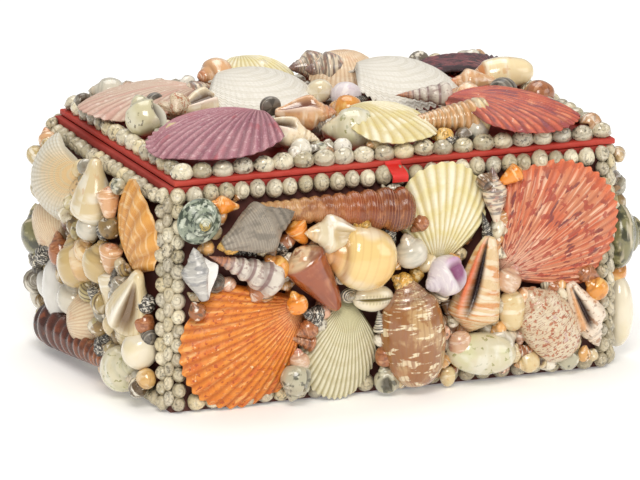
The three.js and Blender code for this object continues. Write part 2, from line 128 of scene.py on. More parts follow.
def smooth_curve(points: Iterable[tuple[float, float]], at: Array) -> Array:
    """Runs a curve with no overshoot through the points of an outline.

    Args:
        points: Pairs of place and value, in order of place.
        at: The places to read.

    Returns:
        The value at each place.
    """
    x, y = np.array(list(points), float).T
    step = np.diff(x)
    slope = np.diff(y) / step
    tangent = np.zeros_like(y)
    tangent[0], tangent[-1] = slope[0], slope[-1]
    before, after = slope[:-1], slope[1:]
    keeps = before * after > 0
    tangent[1:-1][keeps] = (2 * before * after / np.where(keeps, before + after, 1.0))[keeps]
    k = np.clip(np.searchsorted(x, at) - 1, 0, len(step) - 1)
    t = np.clip((at - x[k]) / step[k], 0.0, 1.0)
    start = (1 + 2 * t) * (1 - t) ** 2 * y[k] + t * (1 - t) ** 2 * step[k] * tangent[k]
    return start + t * t * (3 - 2 * t) * y[k + 1] + t * t * (t - 1) * step[k] * tangent[k + 1]


@dataclass(frozen=True)
class Streak:
    """Irregular streaks that run with a shell's own grid, from umbo to rim or round its whorls."""

    colour: str
    across: float
    along: float
    low: float = 0.48
    high: float = 0.6
    strength: float = 1.0
    seed: float = 0.0


@dataclass(frozen=True)
class Speck:
    """Specks or clouds of a second colour."""

    colour: str
    scale: float
    low: float = 0.55
    high: float = 0.62
    strength: float = 1.0
    seed: float = 0.0


@dataclass(frozen=True)
class Band:
    """Even bands that repeat across or along a shell's grid."""

    colour: str
    across: float
    along: float
    low: float = 0.6
    high: float = 0.8
    strength: float = 1.0
    waver: float = 0.6


@dataclass(frozen=True)
class Fade:
    """A colour that comes in along a shell's grid, towards the rim or the apex."""

    colour: str
    low: float
    high: float
    strength: float = 1.0


@dataclass(frozen=True)
class Finish:
    """The colours and gloss of one kind of shell."""

    ground: str
    marks: tuple[Streak | Speck | Band | Fade, ...] = ()
    tip: str | None = None
    tip_span: tuple[float, float] = (0.3, 2.2)
    # The next two fields are the colour and strength of the painted shade in grooves and sutures.
    crevice: str = "#6b5540"
    crevice_depth: float = 0.55
    # The mouth colour is the inner colour of the opening; in the darkest ones it is also painted shade deep
    # inside.
    mouth: str = "#8a6a4c"
    lip: str | None = None
    rough: float = 0.32
    coat: float = 0.25
    ridges: tuple[float, float, float] = (0.0, 0.0, 0.0)
    pits: float = 0.04


class Tree:
    """A node tree with short calls to add and join its nodes."""

    def __init__(self, tree: bpy.types.NodeTree) -> None:
        """Wraps a node tree.

        Args:
            tree: The tree to work in.
        """
        self.tree = tree

    def node(self, kind: str, **settings: object) -> bpy.types.Node:
        """Adds a node.

        Args:
            kind: The node's type name.
            settings: Properties to set on it.

        Returns:
            The new node.
        """
        made = self.tree.nodes.new(kind)
        for name, value in settings.items():
            setattr(made, name, value)
        return made

    def feed(self, socket: Socket, value: object) -> None:
        """Links an output to an input, or sets the input's own value.

        Args:
            socket: The input.
            value: An output socket or a plain value.
        """
        if isinstance(value, bpy.types.NodeSocket):
            self.tree.links.new(value, socket)
        else:
            socket.default_value = value

    def math(self, operation: str, *values: object) -> Socket:
        """Adds a Math node.

        Args:
            operation: What it works out.
            values: Its inputs, as sockets or numbers.

        Returns:
            Its result.
        """
        made = self.node("ShaderNodeMath", operation=operation)
        for socket, value in zip(made.inputs, values):
            self.feed(socket, value)
        return made.outputs[0]

    def span(self, value: object, low: object, high: object, start: float = 0.0, end: float = 1.0) -> Socket:
        """Grades a value smoothly between two limits.

        Args:
            value: The value to grade.
            low: The value that gives the start.
            high: The value that gives the end.
            start: The result at low.
            end: The result at high.

        Returns:
            The graded value.
        """
        made = self.node("ShaderNodeMapRange", interpolation_type="SMOOTHSTEP")
        values = {"Value": value, "From Min": low, "From Max": high, "To Min": start, "To Max": end}
        for name, item in values.items():
            self.feed(made.inputs[name], item)
        return made.outputs[0]

    def mix(self, share: object, first: object, second: object) -> Socket:
        """Mixes two colours.

        Args:
            share: How much of the second shows.
            first: The colour at 0.
            second: The colour at 1.

        Returns:
            The mixed colour.
        """
        made = self.node("ShaderNodeMix", data_type="RGBA")
        for index, item in ((0, share), (6, first), (7, second)):
            self.feed(made.inputs[index], item)
        return made.outputs[2]

    def glaze(self, colour: object, mask: object, share: float, over: str) -> Socket:
        """Lays a colour over another where a mask shows.

        Args:
            colour: The colour below.
            mask: Where the upper colour shows.
            share: How strong it is there.
            over: The upper colour, as #rrggbb.

        Returns:
            The mixed colour.
        """
        return self.mix(self.math("MULTIPLY", mask, share), colour, linear(over))

    def parts(self, vector: Socket) -> list[Socket]:
        """Parts a vector into x, y and z.

        Args:
            vector: The vector.

        Returns:
            Its three values.
        """
        made = self.node("ShaderNodeSeparateXYZ")
        self.feed(made.inputs[0], vector)
        return list(made.outputs)

    def grid(self) -> list[Socket]:
        """Gives the place on a shell's own grid: across it, and along it or the whorl count."""
        return self.parts(self.node("ShaderNodeUVMap", uv_map="UVMap").outputs[0])

    def spot(self) -> Socket:
        """Gives the place in the object's own space."""
        return self.node("ShaderNodeTexCoord").outputs["Object"]

    def stored(self, name: str, kind: str = "Color") -> Socket:
        """Reads a value that is stored in the mesh, as a colour or a vector."""
        return self.node("ShaderNodeAttribute", attribute_name=name).outputs[kind]

    def noise(self, where: Socket, scale: object, detail: float = 2.0, seed: Socket | None = None) -> Socket:
        """Adds smooth noise.

        Args:
            where: The place to read it at.
            scale: How fine it is.
            detail: How many finer layers it has.
            seed: What shifts it, if anything does.

        Returns:
            Its value.
        """
        made = self.node("ShaderNodeTexNoise", noise_dimensions="3D" if seed is None else "4D")
        self.feed(made.inputs["Vector"], where)
        self.feed(made.inputs["Scale"], scale)
        self.feed(made.inputs["Detail"], detail)
        if seed is not None:
            self.feed(made.inputs["W"], seed)
        return made.outputs[0]

    def bump(
        self, shader: bpy.types.Node, height: Socket, depth: float, strength: float, sunk: bool = False
    ) -> None:
        """Raises a shader's surface.

        Args:
            shader: The main shader.
            height: The height all over the surface, from 0 to 1.
            depth: What a height of 1 means, in metres.
            strength: How strongly it shows.
            sunk: Whether the height goes down instead of up.
        """
        made = self.node("ShaderNodeBump", invert=sunk)
        made.inputs["Distance"].default_value = depth
        made.inputs["Strength"].default_value = strength
        self.feed(made.inputs["Height"], height)
        self.feed(shader.inputs["Normal"], made.outputs[0])

    def group(self, kind: bpy.types.NodeTree, **values: object) -> bpy.types.Node:
        """Places a node group with its own values.

        Args:
            kind: The group.
            values: Its inputs by name, with a space written as an underscore.

        Returns:
            The group's node.
        """
        made = self.node("ShaderNodeGroup", node_tree=kind)
        for name, value in values.items():
            self.feed(made.inputs[name.replace("_", " ")], value)
        return made


FLOAT = "NodeSocketFloat"
COLOUR = "NodeSocketColor"
LIMITS = [("Low", FLOAT, 0.5), ("High", FLOAT, 0.6)]


def open_group(
    name: str, inputs: Iterable[tuple[str, str, object]], outputs: Iterable[tuple[str, str]]
) -> tuple[Tree, bpy.types.Node, bpy.types.Node]:
    """Starts a shader node group with named sockets.

    Args:
        name: The group's name.
        inputs: The name, type and usual value of each input.
        outputs: The name and type of each output.

    Returns:
        The group's tree and its input and output nodes.
    """
    made = bpy.data.node_groups.new(name, "ShaderNodeTree")
    for label, kind, usual in inputs:
        made.interface.new_socket(label, in_out="INPUT", socket_type=kind).default_value = usual
    for label, kind in outputs:
        made.interface.new_socket(label, in_out="OUTPUT", socket_type=kind)
    tree = Tree(made)
    return tree, tree.node("NodeGroupInput"), tree.node("NodeGroupOutput")


class Effects:
    """The node groups that several finishes share, each built once."""

    def __init__(self) -> None:
        """Builds every group."""
        self.streaks = self._streaks()
        self.specks = self._specks()
        self.ridges = self._ridges()
        self.crevice = self._crevice()
        self.coil_line = self._coil_line()
        self.weave = self._weave()

    @staticmethod
    def _streaks() -> bpy.types.NodeTree:
        """Builds a mask of noise that is stretched along a shell's grid.

        Returns:
            The group.
        """
        inputs = [("Across", FLOAT, 8.0), ("Along", FLOAT, 2.0), ("Seed", FLOAT, 0.0), *LIMITS]
        tree, start, end = open_group("shell_streaks", inputs, [("Mask", FLOAT)])
        across, along, _ = tree.grid()
        spot = tree.node("ShaderNodeCombineXYZ")
        tree.feed(spot.inputs[0], tree.math("MULTIPLY", across, start.outputs["Across"]))
        tree.feed(spot.inputs[1], tree.math("MULTIPLY", along, start.outputs["Along"]))
        tree.feed(spot.inputs[2], start.outputs["Seed"])
        noise = tree.noise(spot.outputs[0], 1.0, 3.0)
        tree.feed(end.inputs["Mask"], tree.span(noise, start.outputs["Low"], start.outputs["High"]))
        return tree.tree

    @staticmethod
    def _specks() -> bpy.types.NodeTree:
        """Builds a mask of specks or clouds, by their size in the object's own space.

        Returns:
            The group.
        """
        inputs = [("Scale", FLOAT, 400.0), ("Seed", FLOAT, 0.0), *LIMITS]
        tree, start, end = open_group("shell_specks", inputs, [("Mask", FLOAT)])
        noise = tree.noise(tree.spot(), start.outputs["Scale"], 3.0, start.outputs["Seed"])
        tree.feed(end.inputs["Mask"], tree.span(noise, start.outputs["Low"], start.outputs["High"]))
        return tree.tree

    @staticmethod
    def _ridges() -> bpy.types.NodeTree:
        """Builds even ridges that repeat across and along a shell's grid and waver a little.

        Returns:
            The group.
        """
        inputs = [("Across", FLOAT, 0.0), ("Along", FLOAT, 20.0), ("Waver", FLOAT, 0.6)]
        tree, start, end = open_group("shell_ridges", inputs, [("Value", FLOAT)])
        across, along, _ = tree.grid()
        phase = tree.math("MULTIPLY", across, start.outputs["Across"])
        phase = tree.math("MULTIPLY_ADD", along, start.outputs["Along"], phase)
        phase = tree.math("MULTIPLY_ADD", tree.noise(tree.spot(), 120.0), start.outputs["Waver"], phase)
        wave = tree.math("SINE", tree.math("MULTIPLY", phase, TURN))
        tree.feed(end.inputs["Value"], tree.math("MULTIPLY_ADD", wave, 0.5, 0.5))
        return tree.tree

    @staticmethod
    def _crevice() -> bpy.types.NodeTree:
        """Builds the darker colour of painted shade in the grooves between ribs and along sutures.

        Returns:
            The group.
        """
        inputs = [("Colour", COLOUR, (1, 1, 1, 1)), ("Dirt", COLOUR, (0.1, 0.1, 0.1, 1))]
        inputs.append(("Amount", FLOAT, 0.5))
        tree, start, end = open_group("shell_groove_shade", inputs, [("Colour", COLOUR)])
        groove = tree.node("ShaderNodeSeparateColor")
        tree.feed(groove.inputs[0], tree.stored("zones"))
        share = tree.math("MULTIPLY", groove.outputs[0], start.outputs["Amount"])
        tree.feed(end.inputs["Colour"], tree.mix(share, start.outputs["Colour"], start.outputs["Dirt"]))
        return tree.tree

    @staticmethod
    def _coil_line() -> bpy.types.NodeTree:
        """Builds the fine spiral line on top of a button snail, from where a point lies on it.

        Returns:
            The group.
        """
        tree, start, end = open_group("button_spiral", [("Turns", FLOAT, 2.4)], [("Mask", FLOAT)])
        x, y, _ = tree.parts(tree.stored("lay", "Vector"))
        angle = tree.math("DIVIDE", tree.math("ARCTAN2", y, x), TURN)
        squares = [tree.math("MULTIPLY", value, value) for value in (x, y)]
        reach = tree.math("SQRT", tree.math("ADD", *squares))
        phase = tree.math("FRACT", tree.math("MULTIPLY_ADD", reach, start.outputs["Turns"], angle))
        edge = tree.math("ABSOLUTE", tree.math("SUBTRACT", phase, 0.5))
        tree.feed(end.inputs["Mask"], tree.span(edge, 0.3, 0.48))
        return tree.tree

    @staticmethod
    def _weave() -> bpy.types.NodeTree:
        """Builds the crossing threads of a woven cloth.

        Returns:
            The group.
        """
        tree, start, end = open_group("cloth_weave", [("Threads", FLOAT, 1600.0)], [("Value", FLOAT)])
        phases = [tree.math("MULTIPLY", value, start.outputs["Threads"]) for value in tree.parts(tree.spot())]
        waves = [tree.math("SINE", tree.math("MULTIPLY", phase, TURN)) for phase in phases]
        crossed = tree.math("ADD", tree.math("ADD", waves[0], waves[1]), waves[2])
        tree.feed(end.inputs["Value"], tree.math("MULTIPLY_ADD", crossed, 1 / 6, 0.5))
        return tree.tree


# Each pattern of specks is its scale to a metre, its seed and the two limits of its mask.
GLOSS_CLOUDS = (260.0, 3.0, 0.3, 0.7)
SHELL_PITS = (1500.0, 9.0, 0.35, 0.75)
BUTTON_GRIT = (700.0, 1.0, 0.5, 0.7)
BUTTON_CLOUDS = (70.0, 6.0, 0.42, 0.6)
BUTTON_DOTS = (560.0, 5.0, 0.54, 0.6)
BUTTON_CHALK = (300.0, 8.0, 0.56, 0.7)
CLOTH_RUBS = (60.0, 2.0, 0.42, 0.75)
FLOOR_CLOUDS = (2.0, 4.0, 0.3, 0.7)

SHELL_BUMP = 1.0 * MM
BUTTON_BUMP = 0.4 * MM
CLOTH_BUMP = 0.25 * MM
SPIRAL_TURNS = 1.7
PAINTED_SHADE_BELOW_RIM = 0.86


class Paint:
    """Makes materials from finishes and keeps them, so that like shells share one."""

    def __init__(self) -> None:
        """Builds the shared effects."""
        self.effects = Effects()
        self.made: dict[object, bpy.types.Material] = {}

    def _open(self, name: str) -> tuple[bpy.types.Material, Tree, bpy.types.Node]:
        """Starts a material.

        Args:
            name: Its name.

        Returns:
            The material, its tree and its main shader.
        """
        material = bpy.data.materials.new(name)
        material.use_nodes = True
        tree = Tree(material.node_tree)
        return material, tree, material.node_tree.nodes["Principled BSDF"]

    def _specks(self, tree: Tree, scale: float, seed: float, low: float, high: float) -> Socket:
        """Places a mask of specks or clouds.

        Args:
            tree: The material's tree.
            scale: How fine it is.
            seed: What shifts it.
            low: The noise at which the mask starts.
            high: The noise at which it is full.

        Returns:
            The mask.
        """
        return tree.group(self.effects.specks, Scale=scale, Seed=seed, Low=low, High=high).outputs[0]

    def _mark(self, tree: Tree, colour: object, mark: Streak | Speck | Band | Fade) -> Socket:
        """Lays one mark over a colour.

        Args:
            tree: The material's tree.
            colour: The colour below.
            mark: What to lay on it.

        Returns:
            The new colour.
        """
        if isinstance(mark, Streak):
            mask = tree.group(
                self.effects.streaks, Across=mark.across, Along=mark.along, Seed=mark.seed, Low=mark.low,
                High=mark.high,
            ).outputs[0]
        elif isinstance(mark, Speck):
            mask = self._specks(tree, mark.scale, mark.seed, mark.low, mark.high)
        elif isinstance(mark, Fade):
            mask = tree.span(tree.grid()[1], mark.low, mark.high)
        else:
            wave = tree.group(self.effects.ridges, Across=mark.across, Along=mark.along, Waver=mark.waver)
            mask = tree.span(wave.outputs[0], mark.low, mark.high)
        return tree.glaze(colour, mask, mark.strength, mark.colour)

    def shell(self, name: str, finish: Finish, tinted: bool = False) -> bpy.types.Material:
        """Makes the material of a shell.

        Args:
            name: The material's name, if it is new.
            finish: Its colours and gloss.
            tinted: Whether the ground colour comes from the mesh's own tint.

        Returns:
            The material.
        """
        key = (finish, tinted)
        if key in self.made:
            return self.made[key]
        material, tree, shader = self._open(name)
        colour: object = tree.stored("tint") if tinted else linear(finish.ground)
        if finish.tip:
            colour = tree.mix(tree.span(tree.grid()[1], *finish.tip_span), colour, linear(finish.tip))
        for mark in finish.marks:
            colour = self._mark(tree, colour, mark)
        # Painted shade in the grooves and sutures, where the first zone shows.
        colour = tree.group(
            self.effects.crevice, Colour=colour, Dirt=linear(finish.crevice), Amount=finish.crevice_depth
        ).outputs[0]
        zones = tree.node("ShaderNodeSeparateColor")
        tree.feed(zones.inputs[0], tree.stored("zones"))
        _, mouth, lip = zones.outputs
        if finish.lip:
            colour = tree.mix(lip, colour, linear(finish.lip))
        # The mouth colour, partly painted shade inside the deeper openings.
        tree.feed(shader.inputs["Base Color"], tree.mix(mouth, colour, linear(finish.mouth)))
        clouds = self._specks(tree, *GLOSS_CLOUDS)
        tree.feed(shader.inputs["Roughness"], tree.math("MULTIPLY_ADD", clouds, 0.16, finish.rough - 0.06))
        shader.inputs["Coat Weight"].default_value = finish.coat
        shader.inputs["Coat Roughness"].default_value = 0.12
        height = tree.math("MULTIPLY", self._specks(tree, *SHELL_PITS), finish.pits)
        across, along, depth = finish.ridges
        if depth:
            ridge = tree.group(self.effects.ridges, Across=across, Along=along, Waver=0.5).outputs[0]
            height = tree.math("MULTIPLY_ADD", ridge, depth, height)
        tree.bump(shader, height, SHELL_BUMP, 0.7)
        self.made[key] = material
        return material

    def button(self, glassy: bool = False) -> bpy.types.Material:
        """Makes the material of the button snails, whose grey comes from each one's own tint.

        Args:
            glassy: Whether they are the shinier, more spotted ones on the lid.

        Returns:
            The material.
        """
        name = "glassy_button_snail" if glassy else "button_snail"
        if name in self.made:
            return self.made[name]
        material, tree, shader = self._open(name)
        grit = self._specks(tree, *BUTTON_GRIT)
        colour = tree.glaze(tree.stored("tint"), grit, 0.35, "#7f7663")
        dots = tree.math("MULTIPLY", self._specks(tree, *BUTTON_DOTS), self._specks(tree, *BUTTON_CLOUDS))
        colour = tree.glaze(colour, dots, 0.75 if glassy else 0.65, "#3f3b33")
        colour = tree.glaze(colour, self._specks(tree, *BUTTON_CHALK), 0.6, "#f0ead8")
        line = tree.group(self.effects.coil_line, Turns=SPIRAL_TURNS).outputs[0]
        colour = tree.glaze(colour, line, 0.2, "#5d5346")
        # Painted shade at the foot of each snail, from the first zone.
        painted_shade = tree.group(self.effects.crevice, Colour=colour, Dirt=linear("#4c4133"), Amount=0.8)
        tree.feed(shader.inputs["Base Color"], painted_shade.outputs[0])
        tree.feed(shader.inputs["Roughness"], tree.math("MULTIPLY_ADD", grit, 0.2, 0.14 if glassy else 0.3))
        shader.inputs["Coat Weight"].default_value = 0.9 if glassy else 0.3
        shader.inputs["Coat Roughness"].default_value = 0.1
        tree.bump(shader, tree.math("MULTIPLY_ADD", grit, 0.3, line), BUTTON_BUMP, 0.8, sunk=True)
        self.made[name] = material
        return material

    def _shadowed(self, tree: Tree, colour: Socket, top: float) -> Socket:
        """Paints shade on a box's outer faces below its rim, where the shells shade the cloth between them.

        Args:
            tree: The material's tree.
            colour: The colour without the painted shade.
            top: The height at which the rim begins, in metres.

        Returns:
            The new colour.
        """
        low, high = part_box("box_body")
        middle = (low + high) / 2
        spot = tree.parts(tree.spot())
        sides = []
        for axis in (0, 1):
            away = tree.math("ABSOLUTE", tree.math("SUBTRACT", spot[axis], middle[axis]))
            half = (high[axis] - low[axis]) / 2
            sides.append(tree.span(away, half - 2 * MM, half - 1 * MM))
        below = tree.span(spot[2], top, top - 1.5 * MM)
        outer = tree.math("MULTIPLY", tree.math("MAXIMUM", *sides), below)
        # Painted shade on the cloth between the shells, below the rim.
        return tree.glaze(colour, outer, PAINTED_SHADE_BELOW_RIM, "#4a3029")

    def cloth(
        self, name: str, ground: str, worn: str, threads: float, rough: float, sheen: float,
        rim: float | None = None,
    ) -> bpy.types.Material:
        """Makes a woven cloth or ribbon.

        Args:
            name: The material's name.
            ground: Its colour.
            worn: The colour where it is rubbed.
            threads: Threads to a metre.
            rough: How dull it is.
            sheen: How much its nap catches the light.
            rim: The height below which painted shade darkens a box's outer faces, in metres.

        Returns:
            The material.
        """
        material, tree, shader = self._open(name)
        weave = tree.group(self.effects.weave, Threads=threads).outputs[0]
        rubbed = self._specks(tree, *CLOTH_RUBS)
        colour = tree.glaze(linear(ground), rubbed, 0.5, worn)
        colour = tree.glaze(colour, weave, 0.22, "#3a0d0a")
        if rim:
            colour = self._shadowed(tree, colour, rim)
        tree.feed(shader.inputs["Base Color"], colour)
        tree.feed(shader.inputs["Roughness"], tree.math("MULTIPLY_ADD", weave, 0.1, rough))
        shader.inputs["Sheen Weight"].default_value = sheen
        shader.inputs["Sheen Tint"].default_value = linear(worn)
        tree.bump(shader, weave, CLOTH_BUMP, 0.5)
        return material

    def floor(self) -> bpy.types.Material:
        """Makes the pale studio floor.

        Returns:
            The material.
        """
        material, tree, shader = self._open("studio_floor")
        pale = tree.mix(self._specks(tree, *FLOOR_CLOUDS), (0.96, 0.96, 0.96, 1), (0.98, 0.98, 0.98, 1))
        tree.feed(shader.inputs["Base Color"], pale)
        shader.inputs["Roughness"].default_value = 0.6
        shader.inputs["Emission Color"].default_value = (1.0, 1.0, 1.0, 1.0)
        shader.inputs["Emission Strength"].default_value = 0.2
        return material


def alone(piece: bpy.types.Object) -> None:
    """Selects one object and nothing else.

    Args:
        piece: The object.
    """
    bpy.ops.object.select_all(action="DESELECT")
    bpy.context.view_layer.objects.active = piece
    piece.select_set(True)


def edit(piece: bpy.types.Object, *steps: Callable[[], object]) -> None:
    """Runs operators on the whole mesh in edit mode.

    Args:
        piece: The object.
        steps: The operators, in order.
    """
    alone(piece)
    bpy.ops.object.mode_set(mode="EDIT")
    bpy.ops.mesh.select_all(action="SELECT")
    for step in steps:
        step()
    bpy.ops.object.mode_set(mode="OBJECT")


def finish_modifier(piece: bpy.types.Object, kind: str, **settings: object) -> None:
    """Adds a modifier and applies it.

    Args:
        piece: The object.
        kind: The modifier's type.
        settings: Its properties.
    """
    alone(piece)
    modifier = piece.modifiers.new(kind.lower(), kind)
    for name, value in settings.items():
        setattr(modifier, name, value)
    bpy.ops.object.modifier_apply(modifier=modifier.name)


def smooth(piece: bpy.types.Object, degrees: float) -> None:
    """Smooths a piece's shading, apart from edges sharper than an angle."""
    alone(piece)
    bpy.ops.object.shade_smooth_by_angle(angle=math.radians(degrees))


def join(copies: list[bpy.types.Object], name: str) -> bpy.types.Object:
    """Joins copies into one piece.

    Args:
        copies: The copies.
        name: The piece's name.

    Returns:
        The piece.
    """
    alone(copies[0])
    for copy in copies:
        copy.select_set(True)
    bpy.ops.object.join()
    copies[0].name = name
    return copies[0]


def set_attribute(mesh: bpy.types.Mesh, name: str, kind: str, values: Array) -> None:
    """Stores a value for each vertex.

    Args:
        mesh: The mesh.
        name: The attribute's name.
        kind: FLOAT_COLOR or FLOAT_VECTOR.
        values: One row for each vertex.
    """
    made = mesh.attributes.get(name) or mesh.attributes.new(name, kind, "POINT")
    slot = "color" if kind == "FLOAT_COLOR" else "vector"
    made.data.foreach_set(slot, np.ascontiguousarray(values, np.float32).ravel())


def read_points(mesh: bpy.types.Mesh) -> Array:
    """Gives a mesh's vertices as rows.

    Args:
        mesh: The mesh.

    Returns:
        One row of x, y and z for each vertex.
    """
    flat = np.empty(len(mesh.vertices) * 3, np.float32)
    mesh.vertices.foreach_get("co", flat)
    return flat.reshape(-1, 3).astype(float)


def write_points(mesh: bpy.types.Mesh, points: Array) -> None:
    """Moves a mesh's vertices.

    Args:
        mesh: The mesh.
        points: One row for each vertex.
    """
    mesh.vertices.foreach_set("co", np.ascontiguousarray(points, np.float32).ravel())
    mesh.update()


def grid_piece(name: str, columns: int, rows: int, place: Place, coordinates: Place) -> bpy.types.Object:
    """Shapes a grid into a shell's surface and closes its seam and its poles.

    Args:
        name: The object's name.
        columns: Faces across the grid.
        rows: Faces along it.
        place: Gives the points and zones for shares across and along.
        coordinates: Gives the pattern coordinates for the same shares.

    Returns:
        The object, at the origin.
    """
    bpy.ops.object.select_all(action="DESELECT")
    bpy.ops.mesh.primitive_grid_add(x_subdivisions=columns, y_subdivisions=rows, size=1.0)
    piece = bpy.context.active_object
    piece.name = name
    mesh = piece.data
    mesh.name = name
    flat = read_points(mesh)
    points, zones = place(flat[:, 0] + 0.5, flat[:, 1] + 0.5)
    layer = mesh.uv_layers.active
    layer.name = "UVMap"
    shares = np.empty(len(layer.data) * 2, np.float32)
    layer.data.foreach_get("uv", shares)
    across, along = coordinates(shares[0::2].astype(float), shares[1::2].astype(float))
    layer.data.foreach_set("uv", np.column_stack((across, along)).astype(np.float32).ravel())
    set_attribute(mesh, "zones", "FLOAT_COLOR", zones)
    write_points(mesh, points)
    edit(piece, lambda: bpy.ops.mesh.remove_doubles(threshold=0.002 * MM))
    return piece


def tinted_copy(
    mesh: bpy.types.Mesh, rng: np.random.Generator, colours: tuple[str, ...], shades: tuple[float, float]
) -> bpy.types.Object:
    """Gives a mesh one of some colours, a little lighter or darker, and adds it to the scene.

    Args:
        mesh: The mesh, with its place in it.
        rng: Where the draws come from.
        colours: The colours to choose from.
        shades: The darkest and the lightest share of the colour.

    Returns:
        The new object.
    """
    shade = np.array(linear(colours[rng.integers(len(colours))]))
    shade[:3] *= rng.uniform(*shades)
    set_attribute(mesh, "tint", "FLOAT_COLOR", np.tile(np.clip(shade, 0, 1), (len(mesh.vertices), 1)))
    copy = bpy.data.objects.new("copy", mesh)
    bpy.context.collection.objects.link(copy)
    return copy


@dataclass(frozen=True)
class Relief:
    """Raised carving on a coiled shell. Each pair is a count and a height as a share of the radius."""

    cords: tuple[float, float] = (0.0, 0.0)
    ribs: tuple[int, float] = (0, 0.0)
    knobs: tuple[int, float] = (0, 0.0)


@dataclass(frozen=True)
class Mouth:
    """The opening of a coiled shell, as shares of its length, and degrees round it."""

    middle: float = 0.34
    half: float = 0.3
    open: float = 80.0
    depth: float = 0.6
    lip: float = 0.07


@dataclass(frozen=True)
class Coil:
    """How a coiled form is wound. The outline runs from the mouth end to the apex, as (share, radius)."""

    outline: tuple[tuple[float, float], ...]
    start: float
    ratio: float
    suture: float
    narrow: float = 4.0
    apex: float = 1.0
    relief: Relief = Relief()


COILS: dict[Form, Coil] = {
    Form.AUGER: Coil(
        (
            (0, 0), (0.015, 0.6), (0.09, 1), (0.3, 0.86), (0.55, 0.66), (0.8, 0.44), (0.96, 0.3), (0.99, 0.2),
            (1, 0),
        ),
        start=0.06, ratio=0.915, suture=0.15, narrow=2.2, apex=1.35, relief=Relief(cords=(6, 0.014)),
    ),
    Form.TOWER: Coil(
        ((0, 0), (0.02, 0.5), (0.14, 1), (0.36, 0.79), (0.6, 0.52), (0.84, 0.23), (1, 0)),
        start=0.2, ratio=0.74, suture=0.2, narrow=2.0, relief=Relief(ribs=(14, 0.03)),
    ),
    Form.CONE: Coil(
        ((0, 0), (0.01, 0.2), (0.36, 0.66), (0.76, 0.98), (0.82, 1), (0.88, 0.72), (0.96, 0.28), (1, 0)),
        start=0.86, ratio=0.62, suture=0.06,
    ),
    Form.SNAIL: Coil(
        ((0, 0), (0.03, 0.5), (0.18, 0.88), (0.4, 1), (0.6, 0.9), (0.76, 0.52), (0.9, 0.3), (1, 0)),
        start=0.62, ratio=0.55, suture=0.1, narrow=5.0,
    ),
    Form.CONCH: Coil(
        (
            (0, 0), (0.01, 0.2), (0.16, 0.42), (0.42, 0.86), (0.58, 1), (0.7, 0.64), (0.76, 0.53),
            (0.9, 0.28), (1, 0),
        ),
        start=0.68, ratio=0.62, suture=0.12, narrow=3.5, relief=Relief(cords=(7, 0.012)),
    ),
    Form.OLIVE: Coil(
        ((0, 0), (0.02, 0.4), (0.18, 0.82), (0.48, 1), (0.76, 0.84), (0.9, 0.42), (0.95, 0.26), (1, 0)),
        start=0.8, ratio=0.6, suture=0.07,
    ),
    Form.TURBAN: Coil(
        ((0, 0), (0.05, 0.8), (0.28, 1), (0.46, 0.88), (0.6, 0.6), (0.66, 0.54), (0.88, 0.26), (1, 0)),
        start=0.5, ratio=0.58, suture=0.14, narrow=3.0,
    ),
    Form.COWRIE: Coil(
        ((0, 0), (0.06, 0.45), (0.25, 0.85), (0.5, 1), (0.75, 0.85), (0.94, 0.45), (1, 0)),
        start=0.995, ratio=0.5, suture=0.0,
    ),
    Form.EGG: Coil(
        ((0, 0), (0.06, 0.42), (0.25, 0.84), (0.5, 1), (0.75, 0.88), (0.94, 0.5), (1, 0)),
        start=0.97, ratio=0.5, suture=0.02,
    ),
}


@dataclass(frozen=True)
class Shell:
    """One shell and how it lies on its side of the box.

    name follows the name of its side. at is its middle as shares of the side, across from the middle and up
    from the foot. turn swings its apex or open fan from straight up to the left, lean lifts that end off, and
    roll turns it about its own axis.
    """

    name: str
    form: Form
    at: tuple[float, float]
    long: float
    wide: float
    deep: float
    turn: float
    finish: Finish
    lean: float = 0.0
    lift: float = 0.0
    roll: float = 180.0
    standing: bool = False
    mouth: Mouth | None = None
    relief: Relief | None = None
    ribs: int = 20
    flute: float = 1.1
    sweep: float = 0.0
    fine: float = 1.0
    node: bool = True


FAN_HALF = math.radians(50)
EAR_COLUMNS = 0.05
EAR_ANGLE = math.radians(24)
EAR_REACH = 0.26
RIM = 1.2 * MM
VALVE_WALL = 0.9 * MM
RIM_WAVE = 0.024
DOME_REACH = 0.53
DOME_POWER = 0.62
GROWTH_STEP = 0.12 * MM
GROWTH_STEPS = 6
VALVE_ROWS = 24
RIB_COLUMNS = 6
EAR_EXTRA = 8

# Faces round and along a coil, and round one with a mouth
COIL_GRID = (60, 46)
AUGER_GRID = (52, 110)
MOUTH_COLUMNS = 84
LIP_SWING = 40.0
LIP_CROWD = 0.55
LIP_WIDTH = 0.2
SUTURE_SHARES = (0.6, 0.4)
SHOULDER = (0.72, 0.13)
COWRIE_TEETH = 13
SLIT_WIDTH = 0.11
SLIT_DEPTH = 0.28
TEETH_PLACE = (0.26, 0.12)
TEETH_RISE = 0.03


